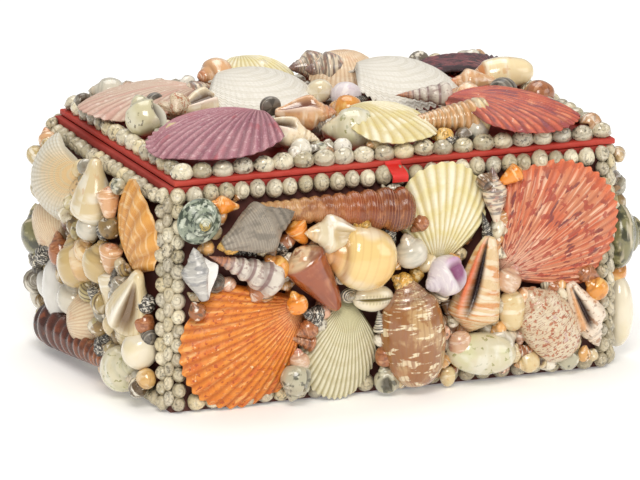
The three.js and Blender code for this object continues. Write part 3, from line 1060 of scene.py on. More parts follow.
class ShellSmith:
    """Shapes shells in their own frame: y to the apex or the open fan, z away from the box."""

    def __init__(self) -> None:
        """Starts with nothing made."""
        self.made = 0

    def make(self, shell: Shell) -> bpy.types.Object:
        """Shapes one shell.

        Args:
            shell: Its form and sizes.

        Returns:
            The object, still in its own frame.
        """
        self.made += 1
        if shell.form is Form.VALVE:
            return self._valve(shell)
        return self._coil(shell)

    def _valve(self, shell: Shell) -> bpy.types.Object:
        """Shapes a fluted valve with ears, a scalloped rim and a thin wall.

        Args:
            shell: Its form and sizes, in millimetres.

        Returns:
            The object.
        """
        long, wide, dome = (value * MM for value in (shell.long, shell.wide, shell.deep))
        flute = shell.flute * MM

        def place(u: Array, v: Array) -> tuple[Array, Array]:
            """Gives the points and zones of the fan."""
            fan = np.clip((u - EAR_COLUMNS) / (1 - 2 * EAR_COLUMNS), 0, 1)
            ear = np.clip((EAR_COLUMNS - np.minimum(u, 1 - u)) / EAR_COLUMNS, 0, 1)
            angle = -FAN_HALF + 2 * FAN_HALF * fan
            rib = (0.5 + 0.5 * np.cos(TURN * (fan * shell.ribs - 0.5))) ** 0.75
            rim = 1 + RIM_WAVE * (rib - 0.5) * v ** 3 * (1 - ear)
            reach = long * np.cos(angle) * v * rim * (1 - (1 - EAR_REACH) * smoothstep(ear, 0, 0.3))
            angle = angle + np.sign(u - 0.5) * EAR_ANGLE * ear
            x = reach * np.sin(angle) * wide / long
            y = -long / 2 + reach * np.cos(angle)
            x = x + shell.sweep * wide * v ** 2 * np.cos(angle)
            across = x / (wide * DOME_REACH)
            along = (y + 0.1 * long * (1 - (2 * y / long) ** 2)) / (long * DOME_REACH)
            swell = np.clip(1 - across ** 2 - along ** 2, 0, 1) ** DOME_POWER
            body = smoothstep(v, 0.0, 0.25) * (1 - smoothstep(ear, 0, 0.4))
            steps = GROWTH_STEP * np.sin(TURN * (v * GROWTH_STEPS + 0.25 * np.sin(fan * 9)))
            z = RIM + dome * swell * (1 - 0.55 * smoothstep(ear, 0, 0.5))
            z = z + (flute * (rib - 0.55) * v ** 0.7 + steps * v) * body
            groove = (1 - rib) ** 1.4 * smoothstep(v, 0.02, 0.3) * (1 - ear)
            zones = np.column_stack((groove, np.zeros_like(u), np.zeros_like(u), np.ones_like(u)))
            return np.column_stack((x, y, z)), zones

        columns = int(shell.ribs * RIB_COLUMNS * shell.fine) + EAR_EXTRA
        piece = grid_piece(shell.name, columns, int(VALVE_ROWS * shell.fine), place, lambda u, v: (u, v))
        edit(piece, lambda: bpy.ops.mesh.normals_make_consistent(inside=False))
        self._face_up(piece)
        finish_modifier(piece, "SOLIDIFY", thickness=VALVE_WALL, offset=-1.0, use_even_offset=False)
        smooth(piece, 70)
        return piece

    @staticmethod
    def _face_up(piece: bpy.types.Object) -> None:
        """Turns a sheet's faces up where they point down.

        Args:
            piece: The sheet.
        """
        mesh = piece.data
        normals = np.empty(len(mesh.polygons) * 3, np.float32)
        mesh.polygons.foreach_get("normal", normals)
        if normals[2::3].mean() < 0:
            edit(piece, lambda: bpy.ops.mesh.flip_normals())

    def _coil(self, shell: Shell) -> bpy.types.Object:
        """Shapes a coiled shell: an outline, wound with sutures, cords, ribs, knobs and a mouth.

        Args:
            shell: Its form and sizes, in millimetres.

        Returns:
            The object.
        """
        coil = COILS[shell.form]
        relief = shell.relief or coil.relief
        long, wide, deep = (value * MM for value in (shell.long, shell.wide, shell.deep))
        mouth = shell.mouth
        rng = np.random.default_rng(SEED + self.made)
        wobble = rng.uniform(0, TURN, 3)
        crowd = LIP_CROWD if mouth else 0.0
        roll = math.radians(shell.roll + LIP_SWING)

        def around(u: Array) -> Array:
            """Gives the angle from the lip, with more columns near it."""
            return TURN * u - crowd * np.sin(TURN * u)

        def whorl(y: Array) -> Array:
            """Counts whorls up from the last suture, with those below it negative."""
            left = np.clip((coil.apex - y) / (coil.apex - coil.start), 0.03, None)
            return np.log(left) / math.log(coil.ratio)

        def height(v: Array) -> Array:
            """Gives the share of the length, with more rows at both ends."""
            ends = 0.5 - 0.5 * np.cos(math.pi * v)
            return v if shell.form in (Form.AUGER, Form.TOWER) else 0.45 * v + 0.55 * ends

        def place(u: Array, v: Array) -> tuple[Array, Array]:
            """Gives the points and zones of the coil."""
            y, angle = height(v), around(u)
            radius = smooth_curve(coil.outline, y)
            level = whorl(y)
            phase = level + angle / TURN - 1
            fade = 1 - smoothstep(angle, 0.75 * TURN, TURN) * (phase < 0.5)
            groove = np.where(phase > -0.5, np.abs(np.cos(math.pi * phase)) ** (2 * coil.narrow), 0) * fade
            round_ = np.where(phase > -0.5, np.abs(np.cos(math.pi * phase)) ** 2, 0) * fade
            radius = radius * (1 - coil.suture * (SUTURE_SHARES[0] * groove + SUTURE_SHARES[1] * round_))
            count, rise = relief.cords
            radius = radius * (1 + rise * np.cos(TURN * count * phase) * smoothstep(y, 0.0, 0.08))
            count, rise = relief.ribs
            belly = 1 - round_
            radius = radius * (1 + rise * np.cos(count * angle + 0.9 * level) * belly)
            count, rise = relief.knobs
            part = phase - np.floor(phase)
            shoulder = np.exp(-(((part - SHOULDER[0]) / SHOULDER[1]) ** 2)) * (phase > -1.2)
            radius = radius * (1 + rise * np.clip(np.cos(count * angle), 0, 1) ** 1.5 * shoulder)
            wave = 0.012 * np.sin(2 * angle + wobble[0]) + 0.01 * np.sin(3 * angle + 7 * y + wobble[1])
            radius = radius * (1 + wave)
            pocket, lip = np.zeros_like(y), np.zeros_like(y)
            if mouth and shell.form is not Form.COWRIE:
                window = np.clip(1 - ((y - mouth.middle) / mouth.half) ** 2, 0, 1) ** 0.7
                wide_open = math.radians(mouth.open) * (0.45 + 0.55 * window)
                fall = smoothstep(angle, 0.03, 0.3)
                back = 1 - smoothstep(angle / wide_open, 0.55, 1.0)
                pocket = fall * back * window
                off = np.minimum(angle, TURN - angle)
                lip = np.exp(-((off / LIP_WIDTH) ** 2)) * window
                radius = radius * (1 - mouth.depth * pocket) * (1 + mouth.lip * lip)
            if shell.form is Form.COWRIE:
                off = np.abs(angle - 0.5 * TURN)
                window = np.clip(1 - ((y - 0.5) / 0.5) ** 4, 0, 1)
                pocket = np.exp(-((off / SLIT_WIDTH) ** 2)) * window
                teeth = 0.5 + 0.5 * np.cos(TURN * y * COWRIE_TEETH)
                edge = np.exp(-(((off - TEETH_PLACE[0]) / TEETH_PLACE[1]) ** 2)) * window
                radius = radius * (1 - SLIT_DEPTH * pocket + TEETH_RISE * edge * (0.2 + 0.8 * teeth))
                pocket = np.clip(pocket * 1.5, 0, 1)
                groove = edge * (1 - teeth)
            turned = angle + roll
            if shell.form is Form.COWRIE:
                turned = angle + math.radians(90 + shell.roll) + math.pi
            x = radius * np.cos(turned) * wide / 2
            z = radius * np.sin(turned) * deep / 2
            groove = np.clip(groove, 0, 1)
            zones = np.column_stack((groove, np.clip(pocket * 1.3, 0, 1), lip, np.ones_like(y)))
            return np.column_stack((x, (y - 0.5) * long, z)), zones

        def coordinates(u: Array, v: Array) -> tuple[Array, Array]:
            """Gives the turn round the axis and the whorl count."""
            return around(u) / TURN, whorl(height(v))

        columns, rows = AUGER_GRID if shell.form is Form.AUGER else COIL_GRID
        if mouth or shell.form is Form.COWRIE:
            columns = MOUTH_COLUMNS
        columns, rows = int(columns * shell.fine), int(rows * shell.fine)
        piece = grid_piece(shell.name, columns, rows, place, coordinates)
        edit(piece, lambda: bpy.ops.mesh.normals_make_consistent(inside=False))
        alone(piece)
        bpy.ops.object.shade_smooth()
        return piece


@dataclass(frozen=True)
class Board:
    """One flat side of the box or lid, with its foot's middle and its own directions."""

    side: Side
    foot: Vector
    across: Vector
    up: Vector
    out: Vector
    width: float
    height: float

    def spot(self, at: tuple[float, float]) -> Vector:
        """Gives the point for shares of the side.

        Args:
            at: Across from the middle, and up from the foot.

        Returns:
            The point on the board.
        """
        return self.foot + self.across * (at[0] * self.width) + self.up * (at[1] * self.height)

    def matrix(self, at: tuple[float, float], turn: float, off: float) -> Matrix:
        """Gives the place of a shell that lies on this side.

        Args:
            at: Its middle as shares of the side.
            turn: How far it is swung to the left, in degrees.
            off: How far its own origin is off the board.

        Returns:
            The matrix from the shell's frame to the box's.
        """
        axes = Matrix((self.across, self.up, self.out)).transposed().to_4x4()
        where = Matrix.Translation(self.spot(at) + self.out * off)
        return where @ axes @ Matrix.Rotation(math.radians(turn), 4, "Z")


def read_boards() -> dict[Side, Board]:
    """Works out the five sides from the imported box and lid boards.

    Returns:
        The sides by name.
    """
    low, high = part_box("box_body")
    x, y, z = Vector((1, 0, 0)), Vector((0, 1, 0)), Vector((0, 0, 1))
    width, depth, height = high - low
    middle = (low + high) / 2
    lid_low, lid_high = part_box("lid_board")
    lid_middle = (lid_low + lid_high) / 2
    sides = [
        Board(Side.FRONT, Vector((middle.x, low.y, low.z)), x, z, -y, width, height),
        Board(Side.RIGHT, Vector((high.x, middle.y, low.z)), y, z, x, depth, height),
        Board(Side.BACK, Vector((middle.x, high.y, low.z)), -x, z, y, width, height),
        Board(Side.LEFT, Vector((low.x, middle.y, low.z)), -y, z, -x, depth, height),
        Board(
            Side.LID, Vector((lid_middle.x, lid_low.y, lid_high.z)), x, y, z,
            lid_high.x - lid_low.x, lid_high.y - lid_low.y,
        ),
    ]
    return {board.side: board for board in sides}


def valve_finish(ground: str, dark: str, marks: tuple = (), tip: str | None = None, **more: object) -> Finish:
    """Makes a duller finish for a fluted valve, with fine growth lines.

    Args:
        ground: The colour of its ribs.
        dark: The painted shade colour in the grooves between them.
        marks: Streaks, specks and bands.
        tip: The colour at the umbo.
        more: Other fields of the finish.

    Returns:
        The finish.
    """
    fields = {
        "crevice": dark, "crevice_depth": 0.85, "rough": 0.42, "coat": 0.08, "tip_span": (0.42, 0.0),
        "ridges": (0.0, 46.0, 0.10), "pits": 0.12,
    }
    return Finish(ground=ground, marks=marks, tip=tip, **{**fields, **more})


ORANGE_FAN = valve_finish(
    "#e38727", "#b0540d",
    (
        Streak("#d4682a", 26, 5, 0.5, 0.64, 0.7), Streak("#f9c478", 40, 7, 0.56, 0.66, 0.7, seed=4),
        Streak("#a5381c", 60, 30, 0.57, 0.63, 0.75, seed=8), Speck("#f8d9a8", 500, 0.64, 0.7, 0.8),
        Band("#f6a950", 0, 7, 0.7, 0.95, 0.35),
    ),
    tip="#f3bd90",
)
CREAM_FAN = valve_finish(
    "#e6e0c4", "#9c8f60", (Band("#d2c8a0", 0, 6, 0.5, 0.9, 0.4), Fade("#cfcb9e", 0.6, 0.2, 0.5)),
    tip="#d2cda4", crevice_depth=0.95,
)
YELLOW_FAN = valve_finish(
    "#ebe3bd", "#c4ac66", (Band("#e2d68e", 0, 5, 0.5, 0.95, 0.4), Speck("#f4f0dc", 90, 0.46, 0.6, 0.7)),
    tip="#ddd2a4",
)
RED_FAN = valve_finish(
    "#d0855f", "#a04a32",
    (
        Streak("#d0643e", 24, 3, 0.44, 0.6, 0.8), Streak("#efc8aa", 90, 4, 0.53, 0.61, 0.75, seed=6),
        Streak("#6e2c34", 34, 8, 0.58, 0.62, 0.9, seed=3), Fade("#efd0b8", 0.5, 0.1, 0.5),
        Streak("#a8402f", 18, 12, 0.56, 0.6, 0.85, seed=11), Fade("#e4713f", 0.84, 1.0, 0.7),
    ),
    tip="#eccab2", tip_span=(0.3, 0.0), crevice_depth=0.6,
)
PURPLE_FAN = valve_finish(
    "#b57f88", "#75404e",
    (
        Streak("#9a5c6e", 34, 3, 0.45, 0.62, 0.7), Streak("#d8b3b6", 60, 18, 0.56, 0.66, 0.6, seed=5),
        Speck("#d9b9bb", 700, 0.58, 0.66, 0.5), Speck("#b4525c", 60, 0.58, 0.66, 0.7, seed=4),
    ),
    tip="#b97480",
)
PINK_FAN = valve_finish(
    "#cfbaa6", "#ad8474",
    (
        Streak("#c98f84", 26, 1.5, 0.5, 0.62, 0.6), Fade("#d9ab9c", 0.5, 1.0, 0.3),
        Speck("#f1e6da", 200, 0.52, 0.66, 0.5),
    ),
    tip="#dcb6a2",
)
WHITE_FAN = valve_finish(
    "#e6e2d8", "#bab3a4", (Band("#d2ccbd", 0, 11, 0.6, 0.9, 0.5), Speck("#d8d1c0", 120, 0.5, 0.7, 0.4)),
    tip="#ddd5c5", crevice_depth=0.6, ridges=(0.0, 46.0, 0.25),
)
DARK_FAN = valve_finish(
    "#7a434a", "#2e2026",
    (Streak("#3a2a33", 24, 6, 0.44, 0.56, 0.9), Streak("#a85b58", 40, 9, 0.58, 0.66, 0.7, seed=2)),
    tip="#8d5a58",
)
CORAL_FAN = valve_finish(
    "#d06a4c", "#84382f",
    (
        Streak("#7c4150", 26, 3.5, 0.5, 0.6, 0.85), Streak("#ee9a72", 44, 7, 0.55, 0.64, 0.7, seed=3),
        Speck("#f3d6c4", 420, 0.66, 0.72, 0.7), Band("#b24a44", 0, 5, 0.6, 0.9, 0.45),
    ),
    tip="#c8584a",
)
GOLD_FAN = valve_finish(
    "#e2a24a", "#b86f1a",
    (
        Streak("#f9cf8c", 22, 4, 0.55, 0.66, 0.7), Speck("#d98a34", 200, 0.5, 0.68, 0.5),
        Band("#fadfae", 0, 8, 0.8, 0.98, 0.5),
    ),
    tip="#f3b964", crevice_depth=0.6, rough=0.36,
)
PEACH_FAN = valve_finish(
    "#e8cdaa", "#c9a27c", (Band("#f3e3cb", 0, 6, 0.5, 0.9, 0.5), Streak("#d59a68", 5, 3, 0.56, 0.68, 0.5)),
    tip="#d9a273", rough=0.3, coat=0.4,
)
COCKLE = valve_finish(
    "#e5e2d6", "#bcae8e", (Streak("#dfc394", 3, 3, 0.5, 0.7, 0.5), Band("#d3c8ac", 0, 12, 0.6, 0.9, 0.5)),
    tip="#e2c08a", tip_span=(0.85, 0.2), crevice_depth=0.6,
)
CLAM = valve_finish(
    "#ead6b4", "#cda67e", (Streak("#dcae84", 5, 3, 0.52, 0.66, 0.6),),
    tip="#e0b890", rough=0.3, coat=0.4,
)
PLUM_FAN = replace(PURPLE_FAN, ground="#bb7d86")
LID_WHITE_FAN = replace(WHITE_FAN, ground="#e8e4db", crevice="#dcd6ca", ridges=(0.0, 34.0, 0.3))
LID_YELLOW_FAN = replace(YELLOW_FAN, ground="#dccfa0")

AUGER = Finish(
    "#96430f",
    (
        Fade("#561f06", 3.6, 0.4, 0.8), Band("#cf9060", 0, 6, 0.7, 0.95, 0.35, waver=0.15),
        Streak("#7c3a12", 3, 0.6, 0.5, 0.62, 0.75), Streak("#c68450", 10, 3, 0.56, 0.68, 0.5, seed=2),
    ),
    tip="#d0a470", tip_span=(2.5, 9.5), crevice="#a8683c", crevice_depth=0.35, rough=0.24, coat=0.45,
    ridges=(0.0, 6.0, 0.35),
)
DARK_AUGER = Finish(
    "#6a3019",
    (
        Fade("#32130a", 2.6, 0.2, 0.8), Streak("#43190d", 5, 0.9, 0.45, 0.6, 0.7),
        Streak("#a0552f", 9, 1.5, 0.56, 0.68, 0.5, seed=2),
    ),
    tip="#b06a3a", tip_span=(3.0, 12.0), crevice="#241008", crevice_depth=0.6, rough=0.2, coat=0.6,
)
CREAM_SNAIL = Finish(
    "#e8c884",
    (
        Speck("#e5b25e", 30, 0.45, 0.62, 0.6), Speck("#eee2ca", 26, 0.52, 0.64, 0.8, seed=6),
        Band("#b4783c", 0, 3.0, 0.8, 0.95, 0.12, waver=0.1),
    ),
    tip="#cf965a", tip_span=(0.2, 1.0), crevice="#a06a34", crevice_depth=0.8, rough=0.16, coat=0.9,
    ridges=(46, 0, 0.03), pits=0.0,
)
BROWN_CONE = Finish(
    "#98481d",
    (Streak("#7a3416", 3, 0.5, 0.46, 0.62, 0.8), Streak("#c48050", 7, 0.5, 0.54, 0.66, 0.6, seed=2)),
    tip="#dfc29c", tip_span=(-0.55, 0.1), rough=0.1, coat=1.0, crevice_depth=0.3, pits=0.0,
)
VOLUTE = Finish(
    "#96602b",
    (
        Speck("#cfae7c", 70, 0.5, 0.6, 0.7), Streak("#ecdcb8", 9, 5, 0.55, 0.6, 0.9),
        Streak("#8f5628", 34, 2.2, 0.52, 0.62, 0.7, seed=4),
        Band("#94643c", 34, 0.4, 0.7, 0.95, 0.4, waver=0.7), Speck("#a7602c", 60, 0.55, 0.66, 0.5, seed=9),
    ),
    tip="#a98772", tip_span=(-0.6, 0.6), crevice="#6c4a30", rough=0.14, coat=0.95, ridges=(54, 0, 0.05),
    pits=0.0,
)
FLAMED_CONCH = Finish(
    "#dcbf92",
    (
        Streak("#d38c4c", 3.2, 2.4, 0.47, 0.58, 0.85), Streak("#efe4d0", 5, 3, 0.55, 0.65, 0.7, seed=3),
        Band("#efe2ca", 0, 2.0, 0.8, 0.95, 0.5),
    ),
    # The near-black mouth is painted shade deep in the opening.
    mouth="#2b1716", lip="#dc6a3c", rough=0.24, coat=0.6, crevice_depth=0.4,
)
GLASSY = Finish(
    "#d6ceb0",
    (
        Speck("#8d8a4a", 300, 0.58, 0.64, 0.85), Speck("#cfcf9c", 60, 0.5, 0.66, 0.6, seed=2),
        Streak("#e9e8dc", 5, 1.5, 0.5, 0.68, 0.6), Streak("#8f9070", 3, 30, 0.7, 0.74, 0.5, seed=6),
    ),
    mouth="#c9c6a8", rough=0.12, coat=1.0, crevice="#a8a58a", crevice_depth=0.4, pits=0.0,
)
SPECKLED = Finish(
    "#d8c8ac",
    (
        Speck("#c9b08c", 90, 0.5, 0.62, 0.5), Speck("#b0663f", 420, 0.56, 0.6, 0.9),
        Streak("#8f4430", 26, 20, 0.56, 0.6, 0.85, seed=2), Speck("#b98a94", 180, 0.62, 0.68, 0.5, seed=7),
    ),
    mouth="#e9d6bc", rough=0.26, coat=0.5, crevice="#b08c6c",
)
SPOTTED_CONCH = replace(
    FLAMED_CONCH, ground="#ead9c4",
    marks=(Speck("#b07d54", 260, 0.55, 0.62, 0.8), Streak("#8b6144", 18, 5, 0.58, 0.65, 0.6)),
    mouth="#3a2622", lip="#dca067",
)
GREY_WHELK = Finish(
    "#948a7d",
    (
        Band("#b8ad9c", 0, 9, 0.6, 0.9, 0.4, waver=0.3), Streak("#6b6359", 14, 1.2, 0.5, 0.62, 0.6),
        Streak("#b3a48e", 30, 3, 0.56, 0.66, 0.5, seed=2),
    ),
    crevice="#5e564c", rough=0.42, coat=0.1, ridges=(0, 8, 0.35), pits=0.15,
)
GREEN_TURBAN = Finish(
    "#8d9682",
    (
        Streak("#5e6b60", 12, 3, 0.5, 0.62, 0.7, seed=5), Streak("#2c382a", 9, 2.5, 0.5, 0.56, 0.9),
        Speck("#d3d8c6", 230, 0.54, 0.6, 0.75),
    ),
    tip="#d2b24e", tip_span=(2.0, 3.2), crevice="#4b5346", rough=0.3, coat=0.4,
)
MOSSY_TURBAN = Finish(
    "#7f7a52",
    (
        Speck("#2f321e", 130, 0.44, 0.58, 0.9), Speck("#c8c094", 260, 0.6, 0.68, 0.6, seed=3),
        Streak("#efe0c4", 3, 1.5, 0.58, 0.68, 0.6),
    ),
    tip="#cfc090", crevice="#3d3a24", rough=0.2, coat=0.7,
)
STRIPED_SPIRE = Finish(
    "#d6cdc0",
    (
        Streak("#8c6a66", 16, 2, 0.55, 0.63, 0.6), Band("#7e5a5a", 0, 1, 0.86, 0.97, 0.75, waver=0.08),
        Speck("#b9aca2", 220, 0.55, 0.65, 0.6),
    ),
    tip="#b97e5c", tip_span=(2.5, 4.5), crevice="#6d4c4a", rough=0.34, coat=0.2,
)
COWRIE = Finish(
    "#eae0c8", (Speck("#e5d5a6", 60, 0.5, 0.7, 0.6),),
    mouth="#6a5a22", crevice="#8a7a3a", crevice_depth=0.6, rough=0.1, coat=1.0, pits=0.0,
)
WHITE_COWRIE = replace(COWRIE, ground="#e4e2dc", marks=(Speck("#cfc9bb", 60, 0.5, 0.7, 0.5),))
PALE_WHELK = Finish(
    "#dcc89c",
    (Streak("#efe8d6", 2.5, 1.4, 0.48, 0.62, 0.8), Streak("#d2a878", 12, 2.2, 0.6, 0.68, 0.55, seed=4)),
    mouth="#f6f1e6", lip="#fbf8f0", rough=0.16, coat=0.9, crevice="#b99a70", pits=0.02,
)
CREAM_WHELK = Finish(
    "#dccba2", (Band("#c9a970", 30, 0, 0.6, 0.95, 0.35), Streak("#eee5d0", 4, 1.5, 0.55, 0.68, 0.6)),
    mouth="#7a5f40", lip="#f7f1e2", rough=0.18, coat=0.85, crevice="#b79c6e", ridges=(0, 10, 0.04),
)
TAN_SNAIL = Finish(
    "#d6ab69", (Streak("#f4e3c0", 2.4, 1.2, 0.5, 0.66, 0.7), Streak("#b07a3e", 14, 0.8, 0.58, 0.66, 0.5)),
    tip="#c58f55", rough=0.14, coat=0.95, crevice="#8c5d2e", pits=0.0,
)
GOLD_OLIVE = Finish(
    "#f1dcae",
    (Streak("#f9efd6", 2, 1.4, 0.5, 0.65, 0.7), Streak("#d99a58", 9, 2, 0.58, 0.68, 0.5, seed=3)),
    tip="#c9834a", tip_span=(-0.3, 0.6), rough=0.14, coat=0.9, crevice="#9c6a3c", pits=0.0,
)
CREAM_CONCH = Finish(
    "#ead8b8",
    (
        Streak("#f9f0de", 4, 2, 0.5, 0.64, 0.7), Speck("#b99268", 240, 0.6, 0.68, 0.5),
        Streak("#d6b48a", 16, 1.6, 0.54, 0.66, 0.5, seed=6),
    ),
    mouth="#5a4128", lip="#f3ded0", rough=0.22, coat=0.6, crevice="#8e6e4a",
)
BANDED_CONCH = Finish(
    "#e0cfb6",
    (
        Streak("#7a5c50", 4, 2.2, 0.5, 0.6, 0.85), Band("#6d6a6c", 0, 2, 0.72, 0.92, 0.65, waver=0.2),
        Streak("#c98a72", 8, 3, 0.56, 0.66, 0.6, seed=3),
    ),
    tip="#8f6f66", rough=0.2, coat=0.7, crevice="#4f3f38",
)

AUGERS = Relief(cords=(6, 0.016))
NODULAR = Relief(cords=(5, 0.03), ribs=(11, 0.07))
RIBBED = Relief(cords=(5, 0.012), ribs=(14, 0.04))
KNOBBED = Relief(cords=(6, 0.01), knobs=(9, 0.16))
SMOOTH = Relief()

F, V = Form, Form.VALVE

FRONT: tuple[Shell, ...] = (
    Shell("orange_scallop", V, (-0.34, 0.296), 79, 69, 11, 118, ORANGE_FAN, lean=5.5, ribs=19, flute=1.2),
    Shell("white_fan", V, (-0.126, 0.228), 56, 46, 9, 168, CREAM_FAN, lean=8, ribs=24, flute=0.8),
    Shell("yellow_scallop", V, (0.106, 0.785), 60, 52, 9, -3, YELLOW_FAN, lean=8.5, ribs=14, flute=1.3),
    Shell("red_scallop", V, (0.362, 0.668), 78, 74, 12, -53, RED_FAN, lean=6, ribs=24, flute=1.0),
    Shell("auger", F.AUGER, (-0.152, 0.86), 94, 25, 24, 86, AUGER, lean=-5, lift=2, relief=AUGERS),
    Shell("brown_volute", F.OLIVE, (0.028, 0.285), 61, 37, 30, 6, VOLUTE),
    Shell("cream_snail", F.SNAIL, (-0.106, 0.655), 45, 36, 31, 76, CREAM_SNAIL, lift=1),
    Shell("brown_cone", F.CONE, (-0.19, 0.568), 46, 25, 22, 35, BROWN_CONE, lean=6, lift=5),
    Shell(
        "red_mouth_conch", F.CONE, (0.186, 0.462), 54, 29, 22, 167, FLAMED_CONCH, lift=1, roll=-2,
        mouth=Mouth(middle=0.42, half=0.44, open=46, depth=0.6, lip=0.14),
    ),
    Shell("white_bubble", F.EGG, (0.19, 0.15), 41, 24, 22, -97, GLASSY, lift=1, roll=150),
    Shell("speckled_volute", F.OLIVE, (0.343, 0.255), 47, 31, 22, 31, SPECKLED, lift=1, relief=KNOBBED),
    Shell(
        "small_conch", F.CONCH, (0.432, 0.27), 42, 23, 18, -155, SPOTTED_CONCH, lift=1, roll=25,
        mouth=Mouth(middle=0.36, half=0.34, open=46, depth=0.6, lip=0.16), relief=KNOBBED,
    ),
    Shell("grey_whelk", F.CONCH, (-0.325, 0.822), 44, 29, 24, -70, GREY_WHELK, lift=5),
    Shell("green_turban", F.TURBAN, (-0.452, 0.87), 16, 25, 25, 0, GREEN_TURBAN, standing=True, lift=7.5),
    Shell("striped_spire", F.TOWER, (-0.352, 0.642), 46, 20, 20, 66, STRIPED_SPIRE, lift=4),
    Shell("cowrie", F.COWRIE, (-0.06, 0.452), 24, 15, 12, 88, COWRIE, lift=7, roll=0),
)

LEFT: tuple[Shell, ...] = (
    Shell("white_cockle", V, (-0.245, 0.81), 49, 49, 17, 108, COCKLE, lean=22, lift=2, ribs=26, flute=0.5),
    Shell("gold_scallop", V, (0.33, 0.765), 57, 55, 10, -30, GOLD_FAN, lean=8, ribs=7, flute=2.0),
    Shell("pale_whelk", F.CONCH, (0.055, 0.8), 51, 31, 25, 172, PALE_WHELK, lift=1, roll=80, relief=SMOOTH),
    Shell("brown_auger", F.AUGER, (-0.07, 0.124), 102, 26, 25, -91, DARK_AUGER, lift=0.5, relief=SMOOTH),
    Shell(
        "cream_whelk", F.CONCH, (0.36, 0.425), 55, 31, 25, 150, CREAM_WHELK, lift=1, roll=70,
        mouth=Mouth(middle=0.36, half=0.3, open=80, depth=0.55, lip=0.14),
    ),
    Shell("ribbed_clam", V, (-0.04, 0.235), 34, 34, 14, -70, CLAM, lift=7, ribs=22, flute=0.1, fine=0.8),
    Shell("white_cowrie", F.COWRIE, (-0.262, 0.3), 37, 20, 17, 14, WHITE_COWRIE, lift=5, roll=160),
    Shell("brown_snail", F.SNAIL, (-0.035, 0.53), 30, 26, 22, 20, TAN_SNAIL, lift=1),
)

RIGHT: tuple[Shell, ...] = (
    Shell("green_turban", F.TURBAN, (-0.41, 0.56), 29, 40, 40, 0, MOSSY_TURBAN, standing=True, lift=2),
    Shell("cowrie", F.COWRIE, (-0.41, 0.21), 42, 24, 18, 3, COWRIE, lift=4, roll=-20),
    Shell("plum_scallop", V, (0.13, 0.58), 76, 72, 12, -18, PLUM_FAN, lean=4, ribs=22),
)

BACK: tuple[Shell, ...] = (
    Shell("orange_scallop", V, (-0.29, 0.56), 76, 72, 12, 35, ORANGE_FAN, lean=5),
    Shell("white_scallop", V, (0.3, 0.57), 74, 70, 11, -30, WHITE_FAN, lean=5, ribs=24, flute=0.8),
    Shell("auger", F.AUGER, (0.02, 0.2), 96, 24, 24, 90, AUGER, lift=1, relief=AUGERS),
)

LID: tuple[Shell, ...] = (
    Shell(
        "pink_scallop", V, (-0.385, 0.71), 70, 66, 9, 88, PINK_FAN, lean=-4, lift=8.5, ribs=20, flute=0.9,
    ),
    Shell(
        "dark_scallop", V, (0.366, 0.775), 56, 52, 8, 18, DARK_FAN, lean=-3, lift=8.5, ribs=18, flute=1.5,
    ),
    Shell(
        "white_scallop", V, (-0.145, 0.6), 68, 68, 13, -158, LID_WHITE_FAN, lean=-8, lift=8, ribs=28,
        flute=0.14,
    ),
    Shell(
        "ivory_scallop", V, (0.165, 0.535), 68, 66, 13, -150, LID_WHITE_FAN, lean=-9, lift=9, ribs=30,
        flute=0.14,
    ),
    Shell(
        "purple_scallop", V, (-0.345, 0.168), 76, 76, 11, 128, PURPLE_FAN, lean=-7, lift=6.5, ribs=19,
        flute=1.7, sweep=0.06,
    ),
    Shell(
        "yellow_scallop", V, (0.018, 0.142), 54, 54, 9, -150, LID_YELLOW_FAN, lean=-9, lift=8.5, ribs=14,
        flute=1.2,
    ),
    Shell(
        "red_scallop", V, (0.304, 0.155), 74, 76, 9.5, -124, CORAL_FAN, lean=-6, lift=8.5, ribs=22,
        flute=1.1,
    ),
    Shell("olive", F.OLIVE, (0.398, 0.546), 35, 19, 18, 84, GOLD_OLIVE, lift=8),
    Shell(
        "open_conch", F.CONCH, (-0.213, 0.135), 37, 20, 17, -122, CREAM_CONCH, lean=-12, lift=6, roll=-10,
        mouth=Mouth(middle=0.36, half=0.32, open=70, depth=0.6, lip=0.12),
    ),
    Shell("top_conch", F.CONCH, (0.05, 0.72), 30, 21, 19, 80, BANDED_CONCH, lift=11, relief=SMOOTH),
)

AMBER = Finish(
    "#dd9238", (Streak("#f3c877", 3, 1.2, 0.5, 0.66, 0.8), Speck("#a85f1e", 200, 0.56, 0.66, 0.5)),
    tip="#c27a34", rough=0.15, coat=0.9, crevice="#7d4a1c", mouth="#6a3c1a", lip="#f2d49a", pits=0.0,
)
CREAMY = Finish(
    "#dcc594", (Streak("#efe4c8", 3, 1.4, 0.5, 0.66, 0.8), Streak("#cf9f62", 8, 1.2, 0.58, 0.68, 0.6)),
    tip="#cf9c68", rough=0.16, coat=0.9, crevice="#8f6c3e", mouth="#a9855a", lip="#f7eedc", pits=0.0,
)
PEACHY = Finish(
    "#dcab7c", (Streak("#f5dcc0", 4, 1.6, 0.5, 0.64, 0.8), Streak("#c07a50", 10, 2, 0.58, 0.68, 0.5)),
    tip="#d08a62", rough=0.18, coat=0.8, crevice="#90603c", mouth="#7c4a34", lip="#f4d8c4", pits=0.0,
)
MOON = Finish(
    "#cfc7a2", (Speck("#e6e2cc", 60, 0.48, 0.62, 0.7), Speck("#5c5440", 300, 0.6, 0.66, 0.8, seed=3)),
    rough=0.12, coat=1.0, crevice="#7d7148", mouth="#3a2415", lip="#f7f2e4", pits=0.0,
)
GREENISH = Finish(
    "#c8ad74", (Streak("#b4955a", 3, 1.2, 0.56, 0.7, 0.45), Streak("#e6dcb8", 2, 1.4, 0.56, 0.7, 0.5)),
    tip="#c09a58", rough=0.12, coat=1.0, crevice="#6f5428", mouth="#3f2918", lip="#f3ecd2", pits=0.0,
)
